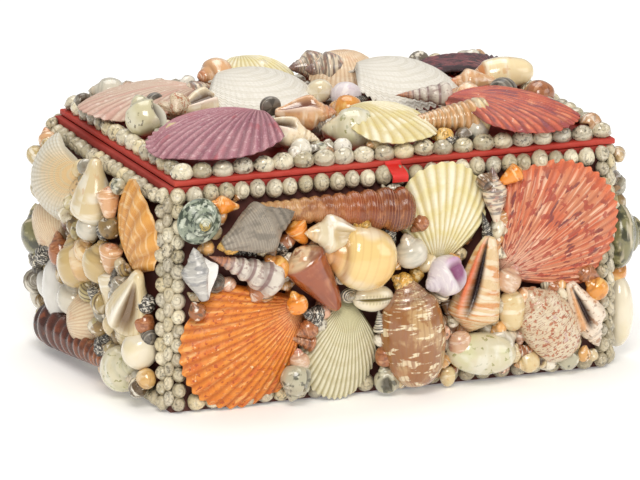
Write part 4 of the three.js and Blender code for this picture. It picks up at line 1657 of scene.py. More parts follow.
NODULE = Finish(
    "#dcd5c6", (Streak("#26211d", 14, 7, 0.44, 0.5, 0.95), Speck("#26211d", 420, 0.52, 0.56, 0.9)),
    crevice="#1d1916", crevice_depth=0.95, rough=0.3, coat=0.4, mouth="#8f8a80",
)
CHECKERED = Finish(
    "#e6ddc6", (Streak("#2e2822", 22, 9, 0.46, 0.5, 0.95), Band("#3a3028", 0, 2, 0.7, 0.85, 0.7)),
    crevice="#241f1a", crevice_depth=0.8, rough=0.25, coat=0.6, mouth="#b8b2a6",
)
ZEBRA = Finish(
    "#e4dcc8", (Band("#2f2c2e", 0, 2, 0.5, 0.66, 0.9, waver=0.1), Speck("#b8aa8c", 260, strength=0.6)),
    crevice="#4b443c", rough=0.3, coat=0.5, mouth="#8a7c66",
)
GILDED = Finish(
    "#dba94e", (Streak("#8a6c3a", 12, 4, 0.5, 0.6, 0.75), Speck("#f6e2ac", 300, 0.52, 0.62, 0.8)),
    crevice="#5f4a24", crevice_depth=0.8, rough=0.28, coat=0.5, mouth="#7a5a2a",
)
TANGERINE = Finish(
    "#ea8f2e", (Streak("#f7d29a", 3, 1.2, 0.52, 0.66, 0.8), Streak("#c4601c", 7, 2, 0.56, 0.66, 0.6)),
    tip="#f2b45c", rough=0.2, coat=0.7, crevice="#9a5218", mouth="#c06a28", lip="#f8d8a8",
)
COCOA = Finish(
    "#a8683e", (Streak("#7a4426", 8, 1.5, 0.5, 0.64, 0.8), Streak("#d8a47a", 5, 3, 0.56, 0.68, 0.6)),
    tip="#c48c64", rough=0.18, coat=0.8, crevice="#4e2c18", mouth="#4a2a18", lip="#e6c8a6", pits=0.0,
)
MILKY = Finish(
    "#d3ccbb", (Streak("#b9b5a6", 4, 1.6, 0.5, 0.66, 0.8), Streak("#c3a98a", 9, 2, 0.62, 0.7, 0.5)),
    tip="#d9c8ae", rough=0.14, coat=0.95, crevice="#a39b88", mouth="#bdb09a", lip="#f7f5ee", pits=0.0,
)
SILVERY = Finish(
    "#bfbcb6", (Streak("#8e8e90", 6, 2, 0.48, 0.62, 0.8), Streak("#e0ded8", 3, 4, 0.54, 0.66, 0.8)),
    crevice="#84827d", rough=0.28, coat=0.5, mouth="#f2f0ea", lip="#fbfaf6",
)
MOTTLED = Finish(
    "#b9b49b", (Speck("#4e4f42", 190, 0.5, 0.58, 0.85), Speck("#e6e4cf", 260, 0.56, 0.64, 0.7, seed=4)),
    crevice="#4c4a3a", rough=0.16, coat=0.8, mouth="#5b5647", pits=0.0,
)
IVORY = Finish(
    "#dfd0ae", (Streak("#f6f1e2", 3, 1.4, 0.48, 0.64, 0.8), Streak("#dcb981", 6, 1.2, 0.62, 0.7, 0.5)),
    tip="#e0bd8c", rough=0.14, coat=0.95, crevice="#b08c5c", mouth="#c9b48e", lip="#fbf8ee", pits=0.0,
)
SLATE = Finish(
    "#6e665c", (Streak("#3a352f", 8, 2, 0.46, 0.6, 0.8), Band("#a49c8e", 0, 3, 0.7, 0.9, 0.6)),
    crevice="#2c2823", rough=0.3, coat=0.4, mouth="#3a342e",
)
ROSY = Finish(
    "#cfa888", (Streak("#e6d2bc", 4, 2, 0.5, 0.64, 0.8), Streak("#b87a70", 9, 2, 0.58, 0.68, 0.6)),
    tip="#cf8f80", rough=0.18, coat=0.8, crevice="#8e5d50", mouth="#a05f58", lip="#f2d8cc", pits=0.0,
)
LILAC = Finish(
    "#dcd2d6", (Streak("#efe8e6", 5, 3, 0.5, 0.62, 0.8), Streak("#c4aec0", 8, 3, 0.56, 0.68, 0.5)),
    crevice="#a892a2", rough=0.34, coat=0.2, mouth="#8c4f78", lip="#caa0c2", ridges=(0, 9, 0.1),
)

SLIM: dict[Form, float] = {
    Form.SNAIL: 0.84, Form.CONCH: 0.56, Form.TOWER: 0.44, Form.TURBAN: 1.0, Form.OLIVE: 0.55, Form.EGG: 0.74,
    Form.CONE: 0.55, Form.COWRIE: 0.58, Form.AUGER: 0.24,
}
SMALL_FINE = 0.6
SMALL_DEPTH = 0.92
LID_WIDTH = 256
LID_DEPTH = 175


def bit(
    name: str, form: Form, at: tuple[float, float], long: float, turn: float, finish: Finish,
    lift: float = 3.0, roll: float = 180.0, slim: float | None = None, **more: object,
) -> Shell:
    """Describes one of the small shells between the large ones, whose width follows from its form.

    Args:
        name: The piece's name.
        form: What it is shaped like.
        at: Its middle as shares of its side.
        long: Its length in millimetres.
        turn: How far its apex is swung to the left, in degrees.
        finish: Its colours.
        lift: How far it stands off the board, in millimetres.
        roll: How far it is turned about its own axis, in degrees.
        slim: Its width over its length, where it isn't the form's usual one.
        more: Other fields of the shell.

    Returns:
        The shell.
    """
    wide = long * (slim or SLIM[form])
    fields = {"fine": SMALL_FINE, "node": False, **more}
    return Shell(name, form, at, long, wide, wide * SMALL_DEPTH, turn, finish, lift=lift, roll=roll, **fields)


ROUND_MOUTH = Mouth(middle=0.34, half=0.3, open=88, depth=0.62, lip=0.1)
LONG_MOUTH = Mouth(middle=0.4, half=0.36, open=74, depth=0.55, lip=0.14)
UP = 0.0

FRONT_SMALL: tuple[Shell, ...] = (
    bit("yellow_cone", F.CONCH, (-0.395, 0.925), 19, 80, TANGERINE, 5, relief=SMOOTH),
    bit(
        "gilded_snail", F.SNAIL, (-0.392, 0.76), 13, 100, GILDED, 10, roll=10, mouth=ROUND_MOUTH,
        relief=NODULAR,
    ),
    bit(
        "white_strombus", F.CONCH, (-0.455, 0.64), 31, 12, SILVERY, 5, roll=-30, slim=0.62, relief=RIBBED,
        mouth=LONG_MOUTH,
    ),
    bit("slate_button", F.TURBAN, (-0.408, 0.577), 9, UP, SLATE, 4, slim=1.35, standing=True),
    bit("orange_snail", F.SNAIL, (-0.284, 0.64), 17, 40, AMBER, 7),
    bit("nodular_left", F.CONCH, (-0.262, 0.708), 15, 10, NODULE, 5, relief=NODULAR),
    bit("dark_tower", F.TOWER, (-0.345, 0.705), 17, 95, NODULE, 4, relief=NODULAR),
    bit("nodular_right", F.CONCH, (-0.024, 0.742), 16, 28, NODULE, 8, relief=NODULAR),
    bit("orange_cone", F.CONE, (-0.226, 0.776), 15, 30, TANGERINE, 6, slim=0.85),
    bit(
        "cream_whelk", F.CONCH, (-0.16, 0.77), 33, 84, IVORY, 8, roll=8, relief=SMOOTH, slim=0.66,
        mouth=Mouth(middle=0.34, half=0.27, open=90, depth=0.55, lip=0.12),
    ),
    bit("gold_coil", F.TURBAN, (-0.088, 0.8), 9, UP, GILDED, 14, slim=1.3, standing=True),
    bit("gold_tower", F.TOWER, (0.206, 0.712), 17, 15, NODULE, 5, relief=NODULAR),
    bit("gold_nodule", F.SNAIL, (0.004, 0.512), 13, 60, GILDED, 8, relief=NODULAR),
    bit("gold_twist", F.CONCH, (0.044, 0.528), 15, -20, GILDED, 6, relief=RIBBED),
    bit("zebra_button", F.TURBAN, (-0.134, 0.56), 7, UP, ZEBRA, 13, slim=1.15, standing=True),
    bit("zebra_coil", F.TURBAN, (-0.112, 0.47), 8, UP, ZEBRA, 9, slim=1.15, standing=True),
    bit("cream_coil", F.SNAIL, (-0.238, 0.475), 14, 20, TANGERINE, 10),
    bit("zebra_tower", F.TOWER, (-0.044, 0.345), 13, 8, ZEBRA, 9, slim=0.7),
    bit("rusty_snail", F.SNAIL, (-0.03, 0.195), 15, -8, COCOA, 7, slim=0.76),
    bit("spotted_snail", F.SNAIL, (-0.027, 0.085), 17, 15, MOTTLED, 5, roll=40, mouth=ROUND_MOUTH),
    bit("dark_nodule", F.TURBAN, (-0.197, 0.4), 12, 70, NODULE, 6, relief=NODULAR),
    bit("dark_snail", F.SNAIL, (-0.208, 0.335), 13, 110, COCOA, 6),
    bit("rose_twist", F.TOWER, (-0.216, 0.285), 16, 70, COCOA, 5, slim=0.6),
    bit("rose_coil", F.SNAIL, (-0.226, 0.21), 13, 10, ROSY, 7),
    bit("grey_snail", F.SNAIL, (-0.238, 0.107), 21, 165, MOTTLED, 6, roll=60, mouth=ROUND_MOUTH),
    bit("orange_chip", F.CONE, (0.262, 0.925), 15, -60, TANGERINE, 4, slim=0.7),
    bit("upright_whelk", F.CONCH, (0.223, 0.85), 32, 5, BANDED_CONCH, 3, relief=RIBBED, slim=0.44),
    bit("pink_coil", F.SNAIL, (0.256, 0.475), 17, -30, ROSY, 5),
    bit(
        "coral_shell", F.SNAIL, (0.094, 0.52), 26, 108, LILAC, 6, roll=-5, slim=0.86, lean=18,
        mouth=Mouth(middle=0.24, half=0.26, open=120, depth=0.55, lip=0.12),
    ),
    bit("white_moon", F.SNAIL, (0.024, 0.652), 20, 20, MILKY, 5, slim=0.9),
    bit("peach_egg", F.EGG, (0.142, 0.19), 19, 8, ROSY, 7),
    bit("white_gloss", F.SNAIL, (0.242, 0.19), 19, -60, MILKY, 4, roll=30, mouth=ROUND_MOUTH),
    bit("cream_twist", F.OLIVE, (0.262, 0.335), 25, 5, CREAMY, 4, slim=0.62),
    bit("yellow_snail", F.SNAIL, (0.456, 0.39), 15, 50, AMBER, 5),
    bit("brown_chip", F.SNAIL, (0.049, 0.752), 12, 130, COCOA, 5),
    bit("pearl", F.EGG, (0.118, 0.055), 12, 0, CREAMY, 5),
    bit("tan_snail", F.SNAIL, (0.3, 0.38), 14, -50, PEACHY, 4),
    bit("dusky_whelk", F.CONCH, (0.44, 0.45), 20, 60, COCOA, 3, relief=RIBBED),
    bit("low_snail", F.SNAIL, (0.3, 0.08), 15, 100, CREAMY, 3),
    bit("low_coil", F.SNAIL, (0.4, 0.09), 16, -40, MOTTLED, 3),
)

LEFT_SMALL: tuple[Shell, ...] = (
    bit("striped_whelk", F.CONCH, (-0.2, 0.72), 38, 170, BANDED_CONCH, 3, roll=80, relief=RIBBED, slim=0.5),
    bit("grey_button", F.SNAIL, (0.215, 0.93), 11, 60, MOTTLED, 6),
    bit("brown_cone", F.CONE, (0.175, 0.83), 20, 10, PEACHY, 6, slim=0.7),
    bit("checkered_snail", F.SNAIL, (0.15, 0.72), 14, 40, NODULE, 7, relief=NODULAR),
    bit("glossy_whelk", F.SNAIL, (0.06, 0.68), 18, 150, MILKY, 10),
    bit("dark_turban", F.SNAIL, (-0.45, 0.51), 30, 35, MOSSY_TURBAN, 0),
    bit("inky_turban", F.SNAIL, (-0.46, 0.38), 15, 70, CHECKERED, 6, relief=NODULAR),
    bit("dark_snail", F.SNAIL, (-0.31, 0.45), 14, -40, NODULE, 12, relief=NODULAR),
    bit("rusty_snail", F.SNAIL, (-0.22, 0.5), 20, 20, COCOA, 9, slim=0.7),
    bit("cream_snail", F.SNAIL, (-0.08, 0.505), 33, 30, GREENISH, 0.5, fine=0.9),
    bit("cream_whorl", F.SNAIL, (0.02, 0.585), 17, -30, TAN_SNAIL, 9),
    bit("low_cream", F.SNAIL, (0.11, 0.565), 27, -20, GREENISH, 2, fine=0.9),
    bit("white_conch", F.SNAIL, (-0.12, 0.325), 23, -25, MILKY, 5, fine=0.9),
    bit("white_whelk", F.CONE, (0.165, 0.425), 31, 6, IVORY, 2),
    bit("grey_tower", F.TOWER, (0.21, 0.53), 17, -10, SLATE, 8, relief=NODULAR),
    bit("big_whelk", F.CONCH, (0.045, 0.39), 22, 15, CHECKERED, 5, relief=RIBBED),
    bit("round_snail", F.SNAIL, (0.395, 0.262), 22, 75, COWRIE, 1, slim=0.98, fine=1.0),
    bit("pink_snail", F.SNAIL, (0.11, 0.08), 15, 80, TAN_SNAIL, 4),
    bit("low_nodule", F.SNAIL, (0.14, 0.19), 17, -30, NODULE, 5, relief=NODULAR),
    bit("edge_nodule", F.SNAIL, (0.42, 0.48), 14, 30, NODULE, 3, relief=NODULAR),
    bit("brown_pyramid", F.CONE, (0.2, 0.6), 18, -15, PEACHY, 7, slim=0.8),
    bit("glassy_snail", F.SNAIL, (0.3, 0.142), 31, -70, GLASSY, 0.5, fine=0.9),
    bit("glassy_coil", F.TURBAN, (0.375, 0.12), 9, 40, MILKY, 8, slim=1.3, standing=True),
    bit("gold_bit", F.SNAIL, (0.435, 0.15), 14, 50, TAN_SNAIL, 4),
    bit("grey_snail", F.SNAIL, (0.2, 0.31), 16, 60, CREAMY, 6),
    bit("pearly_egg", F.EGG, (-0.475, 0.2), 18, 10, MILKY, 4),
    bit("small_grey", F.SNAIL, (-0.47, 0.31), 14, 100, SLATE, 5),
    bit("small_cowrie", F.COWRIE, (-0.385, 0.27), 22, 60, WHITE_COWRIE, 6, roll=180),
    bit("top_egg", F.EGG, (-0.13, 0.88), 15, -50, CREAMY, 4),
    bit("top_snail", F.SNAIL, (-0.42, 0.93), 13, 30, PEACHY, 4),
    bit("column_snail", F.SNAIL, (0.415, 0.395), 15, 20, COCOA, 3),
    bit("column_egg", F.SNAIL, (0.43, 0.33), 12, 70, SLATE, 3),
    Shell(
        "edge_valve", V, (-0.33, 0.545), 36, 36, 13, 60, CLAM, lean=26, lift=2, ribs=24, flute=0.3,
        fine=0.7, node=False,
    ),
)


def heap(
    name: str, form: Form, x: float, y: float, z: float, long: float, turn: float, finish: Finish,
    **more: object,
) -> Shell:
    """Describes a small shell that is heaped on the lid, by the place of its middle.

    Args:
        name: The piece's name.
        form: What it is shaped like.
        x: Its middle to the right of the lid's middle, in millimetres.
        y: Its middle behind the lid's middle, in millimetres.
        z: Its middle above the lid, in millimetres.
        long: Its length in millimetres.
        turn: How far its apex is swung to the left, in degrees.
        finish: Its colours.
        more: Other fields of the shell.

    Returns:
        The shell.
    """
    slim = more.pop("slim", None)
    deep = long * (slim or SLIM[form]) * SMALL_DEPTH
    lift = z - (long / 2 if more.get("standing") else deep / 2)
    at = (x / LID_WIDTH, y / LID_DEPTH + 0.5)
    return bit(name, form, at, long, turn, finish, max(0.0, lift), slim=slim, **more)


LID_SMALL: tuple[Shell, ...] = (
    heap(
        "moon_snail", F.SNAIL, -114, -6, 15.5, 24, 12, MOON, roll=-38, slim=0.98, lean=48,
        mouth=Mouth(middle=0.36, half=0.36, open=100, depth=0.7, lip=0.08),
    ),
    heap(
        "speckled_conch", F.CONCH, -90, 9, 16, 30, 160, SPECKLED, roll=-30, mouth=LONG_MOUTH, relief=RIBBED,
    ),
    heap("brown_whelk", F.CONCH, -68, 33, 15, 32, 100, BANDED_CONCH, relief=RIBBED, slim=0.5),
    heap("dark_coil", F.TURBAN, -99, 22, 16, 11, 20, SLATE, slim=1.1),
    heap("cream_snail", F.CONCH, -74, 10, 15, 32, -70, CREAM_CONCH, roll=-10, mouth=LONG_MOUTH, slim=0.62),
    heap("dark_nodule", F.TOWER, -61, 52, 15, 18, 80, NODULE, relief=NODULAR),
    heap("orange_top", F.SNAIL, -52, 50, 20.5, 21, 100, PEACHY, slim=0.95),
    heap("white_ball", F.EGG, -20, 60, 17, 15, 0, COWRIE, slim=0.95),
    heap(
        "pink_conch", F.CONCH, -36, -46, 19.5, 34, -110, PEACHY, roll=-10, mouth=LONG_MOUTH, relief=KNOBBED,
        slim=0.62,
    ),
    heap("glassy_snail", F.SNAIL, -17, -60, 12, 30, 70, GLASSY),
    heap("grey_top", F.SNAIL, -40, -74, 6, 12, 0, MOTTLED),
    heap("slate_button", F.TURBAN, -52, -32, 22, 11, 0, SLATE, slim=1.1),
    Shell(
        "ridge_valve", V, (0.08, 0.72), 40, 40, 13, 170, PEACH_FAN, lean=-20, lift=8, ribs=22, flute=0.3,
        fine=0.75, node=False,
    ),
    Shell(
        "far_valve", V, (-0.1, 0.83), 46, 48, 11, 180, YELLOW_FAN, lean=-14, lift=7, ribs=16, flute=1.0,
        fine=0.8, node=False,
    ),
    heap("purple_white", F.SNAIL, 3, -3, 16, 20, 30, LILAC),
    heap("cream_pair", F.SNAIL, -6, 8, 17, 17, -30, IVORY),
    heap("nodular_bit", F.TOWER, 9, -10, 14, 21, -70, NODULE, relief=NODULAR),
    heap("amber_orb", F.SNAIL, -4, -22, 14, 19, 40, AMBER),
    heap("peach_tube", F.AUGER, 40, -66, 14, 44, 88, CREAMY, slim=0.52, relief=AUGERS),
    heap("striped_tower", F.TOWER, 38, -34, 20, 32, 75, STRIPED_SPIRE),
    heap("silver_bit", F.SNAIL, 52, -70, 8, 17, 40, MILKY),
    heap("gold_nodule", F.SNAIL, 30, -78, 7, 13, 60, GILDED, relief=NODULAR),
    heap("gold_twist", F.TOWER, 36, -80, 6, 15, -60, NODULE, relief=NODULAR),
    heap("rusty_conch", F.CONCH, 80, 0, 16, 27, 80, PEACHY, relief=RIBBED),
    heap("brown_button", F.SNAIL, 112, -16, 10, 20, 20, COCOA),
    heap("dark_snail", F.SNAIL, 92, -18, 14, 19, -50, SLATE),
    heap("back_snail", F.SNAIL, 66, 62, 7, 20, 70, CREAMY),
    heap("back_whelk", F.CONCH, 12, 62, 17, 32, 95, BANDED_CONCH, relief=RIBBED),
    heap("far_snail", F.SNAIL, 112, 24, 12, 20, 140, PEACHY),
    heap("corner_snail", F.SNAIL, -108, 68, 12, 20, 60, MILKY),
    heap("left_snail", F.SNAIL, -108, -34, 11, 19, 30, CREAMY),
    heap("mid_whelk", F.CONCH, 66, -30, 16, 28, 30, PEACHY, relief=RIBBED),
    heap("front_snail", F.SNAIL, -8, -76, 7, 14, 120, CREAMY),
)

RIGHT_SMALL: tuple[Shell, ...] = (
    bit("amber_snail", F.SNAIL, (-0.4, 0.4), 20, 30, AMBER, 4),
    bit("top_snail", F.SNAIL, (-0.3, 0.82), 22, 70, CREAMY, 4),
    bit("whelk", F.CONCH, (-0.16, 0.3), 36, 150, CREAMY, 4, roll=-20, mouth=LONG_MOUTH, relief=RIBBED),
    bit("spire", F.TOWER, (0.05, 0.2), 46, 85, STRIPED_SPIRE, 4),
    bit("olive", F.OLIVE, (0.4, 0.35), 34, 10, GOLD_OLIVE, 4),
    bit("far_snail", F.SNAIL, (0.42, 0.78), 26, -40, ROSY, 4),
    bit("cone", F.CONE, (-0.12, 0.84), 34, 60, BROWN_CONE, 4),
)

BACK_SMALL: tuple[Shell, ...] = (
    bit("snail", F.SNAIL, (0.02, 0.66), 30, 20, CREAM_SNAIL, 3),
    bit("conch", F.CONCH, (-0.04, 0.42), 36, 110, PEACHY, 3, relief=KNOBBED),
    bit("olive", F.OLIVE, (-0.42, 0.2), 34, 20, VOLUTE, 3),
    bit("whelk", F.CONCH, (0.44, 0.24), 36, -160, CREAMY, 3, roll=-20, mouth=LONG_MOUTH, relief=SMOOTH),
    bit("spire", F.TOWER, (0.02, 0.85), 40, 88, STRIPED_SPIRE, 2),
    bit("cowrie", F.COWRIE, (-0.24, 0.14), 24, 85, COWRIE, 4, roll=0),
    bit("turban", F.TURBAN, (0.25, 0.16), 20, 0, GREEN_TURBAN, 3, slim=1.2, standing=True),
    bit("left_snail", F.SNAIL, (-0.45, 0.8), 24, -30, PEACHY, 3),
    bit("right_snail", F.SNAIL, (0.44, 0.84), 24, 60, MILKY, 3),
)

SMALLS: dict[Side, tuple[Shell, ...]] = {
    Side.FRONT: FRONT_SMALL, Side.RIGHT: RIGHT_SMALL, Side.BACK: BACK_SMALL, Side.LEFT: LEFT_SMALL,
    Side.LID: LID_SMALL,
}

HEROES: dict[Side, tuple[Shell, ...]] = {
    Side.FRONT: FRONT, Side.RIGHT: RIGHT, Side.BACK: BACK, Side.LEFT: LEFT, Side.LID: LID,
}


def lay(piece: bpy.types.Object, board: Board, shell: Shell) -> None:
    """Lays a shell on its side of the box, its lowest point a glue line and any lift off the board.

    Args:
        piece: The shell in its own frame.
        board: The side that carries it.
        shell: How it lies.
    """
    mesh = piece.data
    if shell.standing:
        mesh.transform(Matrix.Rotation(math.radians(90), 4, "X"))
    mesh.transform(Matrix.Rotation(math.radians(shell.lean), 4, "X"))
    lowest = read_points(mesh)[:, 2].min()
    mesh.transform(board.matrix(shell.at, shell.turn, GLUE + shell.lift * MM - lowest))
    mesh.update()


@dataclass
class ShellCrust:
    """The shells that are set one by one. Each large one stands for its own CAD node."""

    paint: Paint
    smith: ShellSmith
    boards: dict[Side, Board]

    def build(self) -> None:
        """Shapes, lays and dresses every shell."""
        for table in (HEROES, SMALLS):
            for side, shells in table.items():
                for shell in shells:
                    self.add(side, shell)

    def add(self, side: Side, shell: Shell) -> None:
        """Makes one shell.

        Args:
            side: The side that carries it.
            shell: What it is and how it lies.
        """
        name = f"{side.value}_{shell.name}"
        piece = self.smith.make(replace(shell, name=f"{name}_shell"))
        lay(piece, self.boards[side], shell)
        piece.data.materials.append(self.paint.shell(f"{name}_finish", shell.finish))
        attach(piece, side.body)
        if shell.node:
            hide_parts(name)
        log.info("%s: %d faces", piece.name, len(piece.data.polygons))


@dataclass(frozen=True)
class Crumb:
    """One kind of very small shell that fills the gaps."""

    form: Form
    slim: float
    relief: Relief = SMOOTH
    mouth: Mouth | None = None


@dataclass(frozen=True)
class Patch:
    """How thickly the gaps of one side are filled."""

    pitch: float
    size: tuple[float, float]
    lifts: tuple[float, float]
    colours: tuple[str, ...]
    layers: int = 1


TINTS_WARM = (
    "#dcc79c", "#c98f55", "#efe2c4", "#a9683c", "#e6b06c", "#8c6a4a", "#cfc4a8", "#d9a98c", "#f2ead6",
)
TINTS_PALE = (
    "#c9b985", "#b3965c", "#dccfad", "#8c6738", "#bfa976", "#9c8152", "#6f5a3d", "#caac7e", "#9d9786",
)
TINTS_GREY = (
    "#c9c2b0", "#a39a88", "#e3dccb", "#8f8676", "#d7c7a6", "#b58a62", "#efe9dc", "#7d7466", "#d0a880",
)

KINDS: tuple[Crumb, ...] = (
    Crumb(Form.SNAIL, 0.86),
    Crumb(Form.SNAIL, 0.9, mouth=ROUND_MOUTH),
    Crumb(Form.CONCH, 0.58, RIBBED),
    Crumb(Form.TOWER, 0.46, RIBBED),
    Crumb(Form.TURBAN, 1.05),
    Crumb(Form.OLIVE, 0.6),
    Crumb(Form.SNAIL, 0.78, NODULAR),
    Crumb(Form.CONE, 0.62),
)

PATCHES: dict[Side, Patch] = {
    Side.FRONT: Patch(7.6, (8, 12.5), (0.5, 4.5), TINTS_WARM, 2),
    Side.LEFT: Patch(8.2, (10, 15.5), (1.0, 6.0), TINTS_PALE, 2),
    Side.RIGHT: Patch(9.0, (10, 16), (0.5, 4.0), TINTS_PALE, 2),
    Side.BACK: Patch(10.0, (12, 19), (0.5, 5.0), TINTS_PALE, 2),
    Side.LID: Patch(9.0, (9, 14), (0.0, 2.0), TINTS_GREY, 2),
}


@dataclass
class Crumbs:
    """The very small shells that close the gaps, joined into one piece for each side and gloss."""

    paint: Paint
    smith: ShellSmith
    boards: dict[Side, Board]
    grain: float = 0.25
    edge: float = 10.5
    length: float = 10.0
    row_share: float = 0.86
    shake: float = 0.22
    upper_gaps: float = 0.35
    layer_rise: float = 3.2
    lid_rise: float = 1.6
    lid_heap: float = 0.5
    lean: float = 28.0
    shades: tuple[float, float] = (0.8, 1.1)
    finish_shares: tuple[float, float, float] = (0.55, 0.25, 0.2)
    rng: np.random.Generator = field(default_factory=lambda: np.random.default_rng(SEED + 1))

    def _finishes(self) -> list[Finish]:
        """Gives the glossy, the speckled and the banded finish, whose ground comes from each one's tint.

        Returns:
            The three finishes.
        """
        streaks = (
            Streak("#fbf5e6", 3, 1.5, 0.52, 0.66, 0.75),
            Streak("#7a5232", 7, 1.5, 0.55, 0.66, 0.6, seed=4),
        )
        specks = (Speck("#4f4436", 330, 0.55, 0.61, 0.7), Speck("#f8f2e2", 300, 0.56, 0.64, 0.8, seed=5))
        bands = (Band("#54402f", 0, 2.0, 0.6, 0.8, waver=0.2, strength=0.75), streaks[0])
        return [
            Finish("#ffffff", streaks, rough=0.16, coat=0.85, crevice="#6d5436", mouth="#5c4430", pits=0.0),
            Finish("#ffffff", specks, rough=0.3, coat=0.4, crevice="#5a4a36", mouth="#5c4a3a"),
            Finish("#ffffff", bands, rough=0.24, coat=0.5, crevice="#4e3a28", mouth="#4c3a2c"),
        ]

    def _covered(self, side: Side, across: float, up: float, size: float) -> bool:
        """Says whether a larger shell already covers a spot.

        Args:
            side: The side.
            across: The spot's place from the side's middle, in millimetres.
            up: Its place from the side's foot, in millimetres.
            size: The crumb's own size.

        Returns:
            Whether to leave the spot alone.
        """
        board = self.boards[side]
        for shell in (*HEROES[side], *SMALLS[side]):
            x = across - shell.at[0] * board.width / MM
            y = up - shell.at[1] * board.height / MM
            turn = math.radians(-shell.turn)
            x, y = x * math.cos(turn) - y * math.sin(turn), x * math.sin(turn) + y * math.cos(turn)
            if shell.form is Form.VALVE:
                fan = math.atan2(x * shell.long / shell.wide, y + shell.long / 2)
                reach = math.hypot(x * shell.long / shell.wide, y + shell.long / 2)
                if abs(fan) < FAN_HALF and reach < shell.long * math.cos(fan) + 0.12 * size:
                    return True
            else:
                long = shell.wide if shell.standing else shell.long
                if (x / (0.46 * shell.wide)) ** 2 + (y / (0.46 * long)) ** 2 < 1:
                    return True
        return False

    def _spots(self, side: Side, patch: Patch) -> list[tuple[float, float, float, float]]:
        """Finds the open spots of a side.

        Args:
            side: The side.
            patch: How thickly it is filled.

        Returns:
            Across, up, size and lift of each crumb, in millimetres.
        """
        board = self.boards[side]
        width, height = board.width / MM, board.height / MM
        found: list[tuple[float, float, float, float]] = []
        for layer in range(patch.layers):
            rows = int((height - 2 * self.edge) / (patch.pitch * self.row_share))
            for row in range(rows + 1):
                up = self.edge + row * (height - 2 * self.edge) / max(1, rows)
                across = -width / 2 + self.edge + (patch.pitch / 2 if (row + layer) % 2 else 0)
                while across <= width / 2 - self.edge:
                    size = self.rng.uniform(*patch.size)
                    shake = self.rng.uniform(-self.shake, self.shake, 2) * patch.pitch
                    spot = across + shake[0], up + shake[1]
                    across += patch.pitch
                    if self._covered(side, *spot, size) or (layer and self.rng.random() < self.upper_gaps):
                        continue
                    rise = self.lid_rise if side is Side.LID else self.layer_rise
                    lift = self.rng.uniform(*patch.lifts) + layer * rise
                    if side is Side.LID:
                        middle = 1 - (2 * spot[0] / width) ** 4
                        lift += self.lid_heap * layer * middle * (1 - (2 * spot[1] / height - 1) ** 2)
                    found.append((*spot, size, lift))
        return found

    def build(self) -> None:
        """Makes every side's crumbs."""
        sources = []
        for number, kind in enumerate(KINDS):
            wide = self.length * kind.slim
            shape = Shell(
                f"crumb_{number}", kind.form, (0, 0), self.length, wide, wide, 0, CREAMY, relief=kind.relief,
                mouth=kind.mouth, fine=self.grain, roll=0,
            )
            sources.append(self.smith.make(shape))
        for side, patch in PATCHES.items():
            self._side(side, patch, sources)
        for source in sources:
            bpy.data.objects.remove(source)

    def _side(self, side: Side, patch: Patch, sources: list[bpy.types.Object]) -> None:
        """Makes the crumbs of one side.

        Args:
            side: The side.
            patch: How thickly it is filled.
            sources: One template for each kind.
        """
        board = self.boards[side]
        groups: dict[int, list[bpy.types.Object]] = {0: [], 1: [], 2: []}
        for across, up, size, lift in self._spots(side, patch):
            mesh = sources[self.rng.integers(len(sources))].data.copy()
            grow = size / self.length
            roll = Matrix.Rotation(self.rng.uniform(0, TURN), 4, "Y")
            lean = Matrix.Rotation(math.radians(self.rng.uniform(-self.lean, self.lean)), 4, "X")
            mesh.transform(lean @ roll @ Matrix.Diagonal((grow, grow, grow, 1)))
            lowest = read_points(mesh)[:, 2].min()
            at = (across * MM / board.width, up * MM / board.height)
            mesh.transform(board.matrix(at, self.rng.uniform(0, 360), GLUE + lift * MM - lowest))
            copy = tinted_copy(mesh, self.rng, patch.colours, self.shades)
            groups[int(self.rng.choice(3, p=self.finish_shares))].append(copy)
        for number, finish in enumerate(self._finishes()):
            copies = groups[number]
            if not copies:
                continue
            piece = join(copies, f"{side.value}_crumbs_{number}")
            piece.data.materials.append(self.paint.shell(f"crumb_finish_{number}", finish, tinted=True))
            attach(piece, side.body)
            log.info("%s: %d small shells", piece.name, len(copies))


@dataclass(frozen=True)
class Bead:
    """Sizes of one row of button snails, in millimetres."""

    pitch: float
    across: float
    crest: float


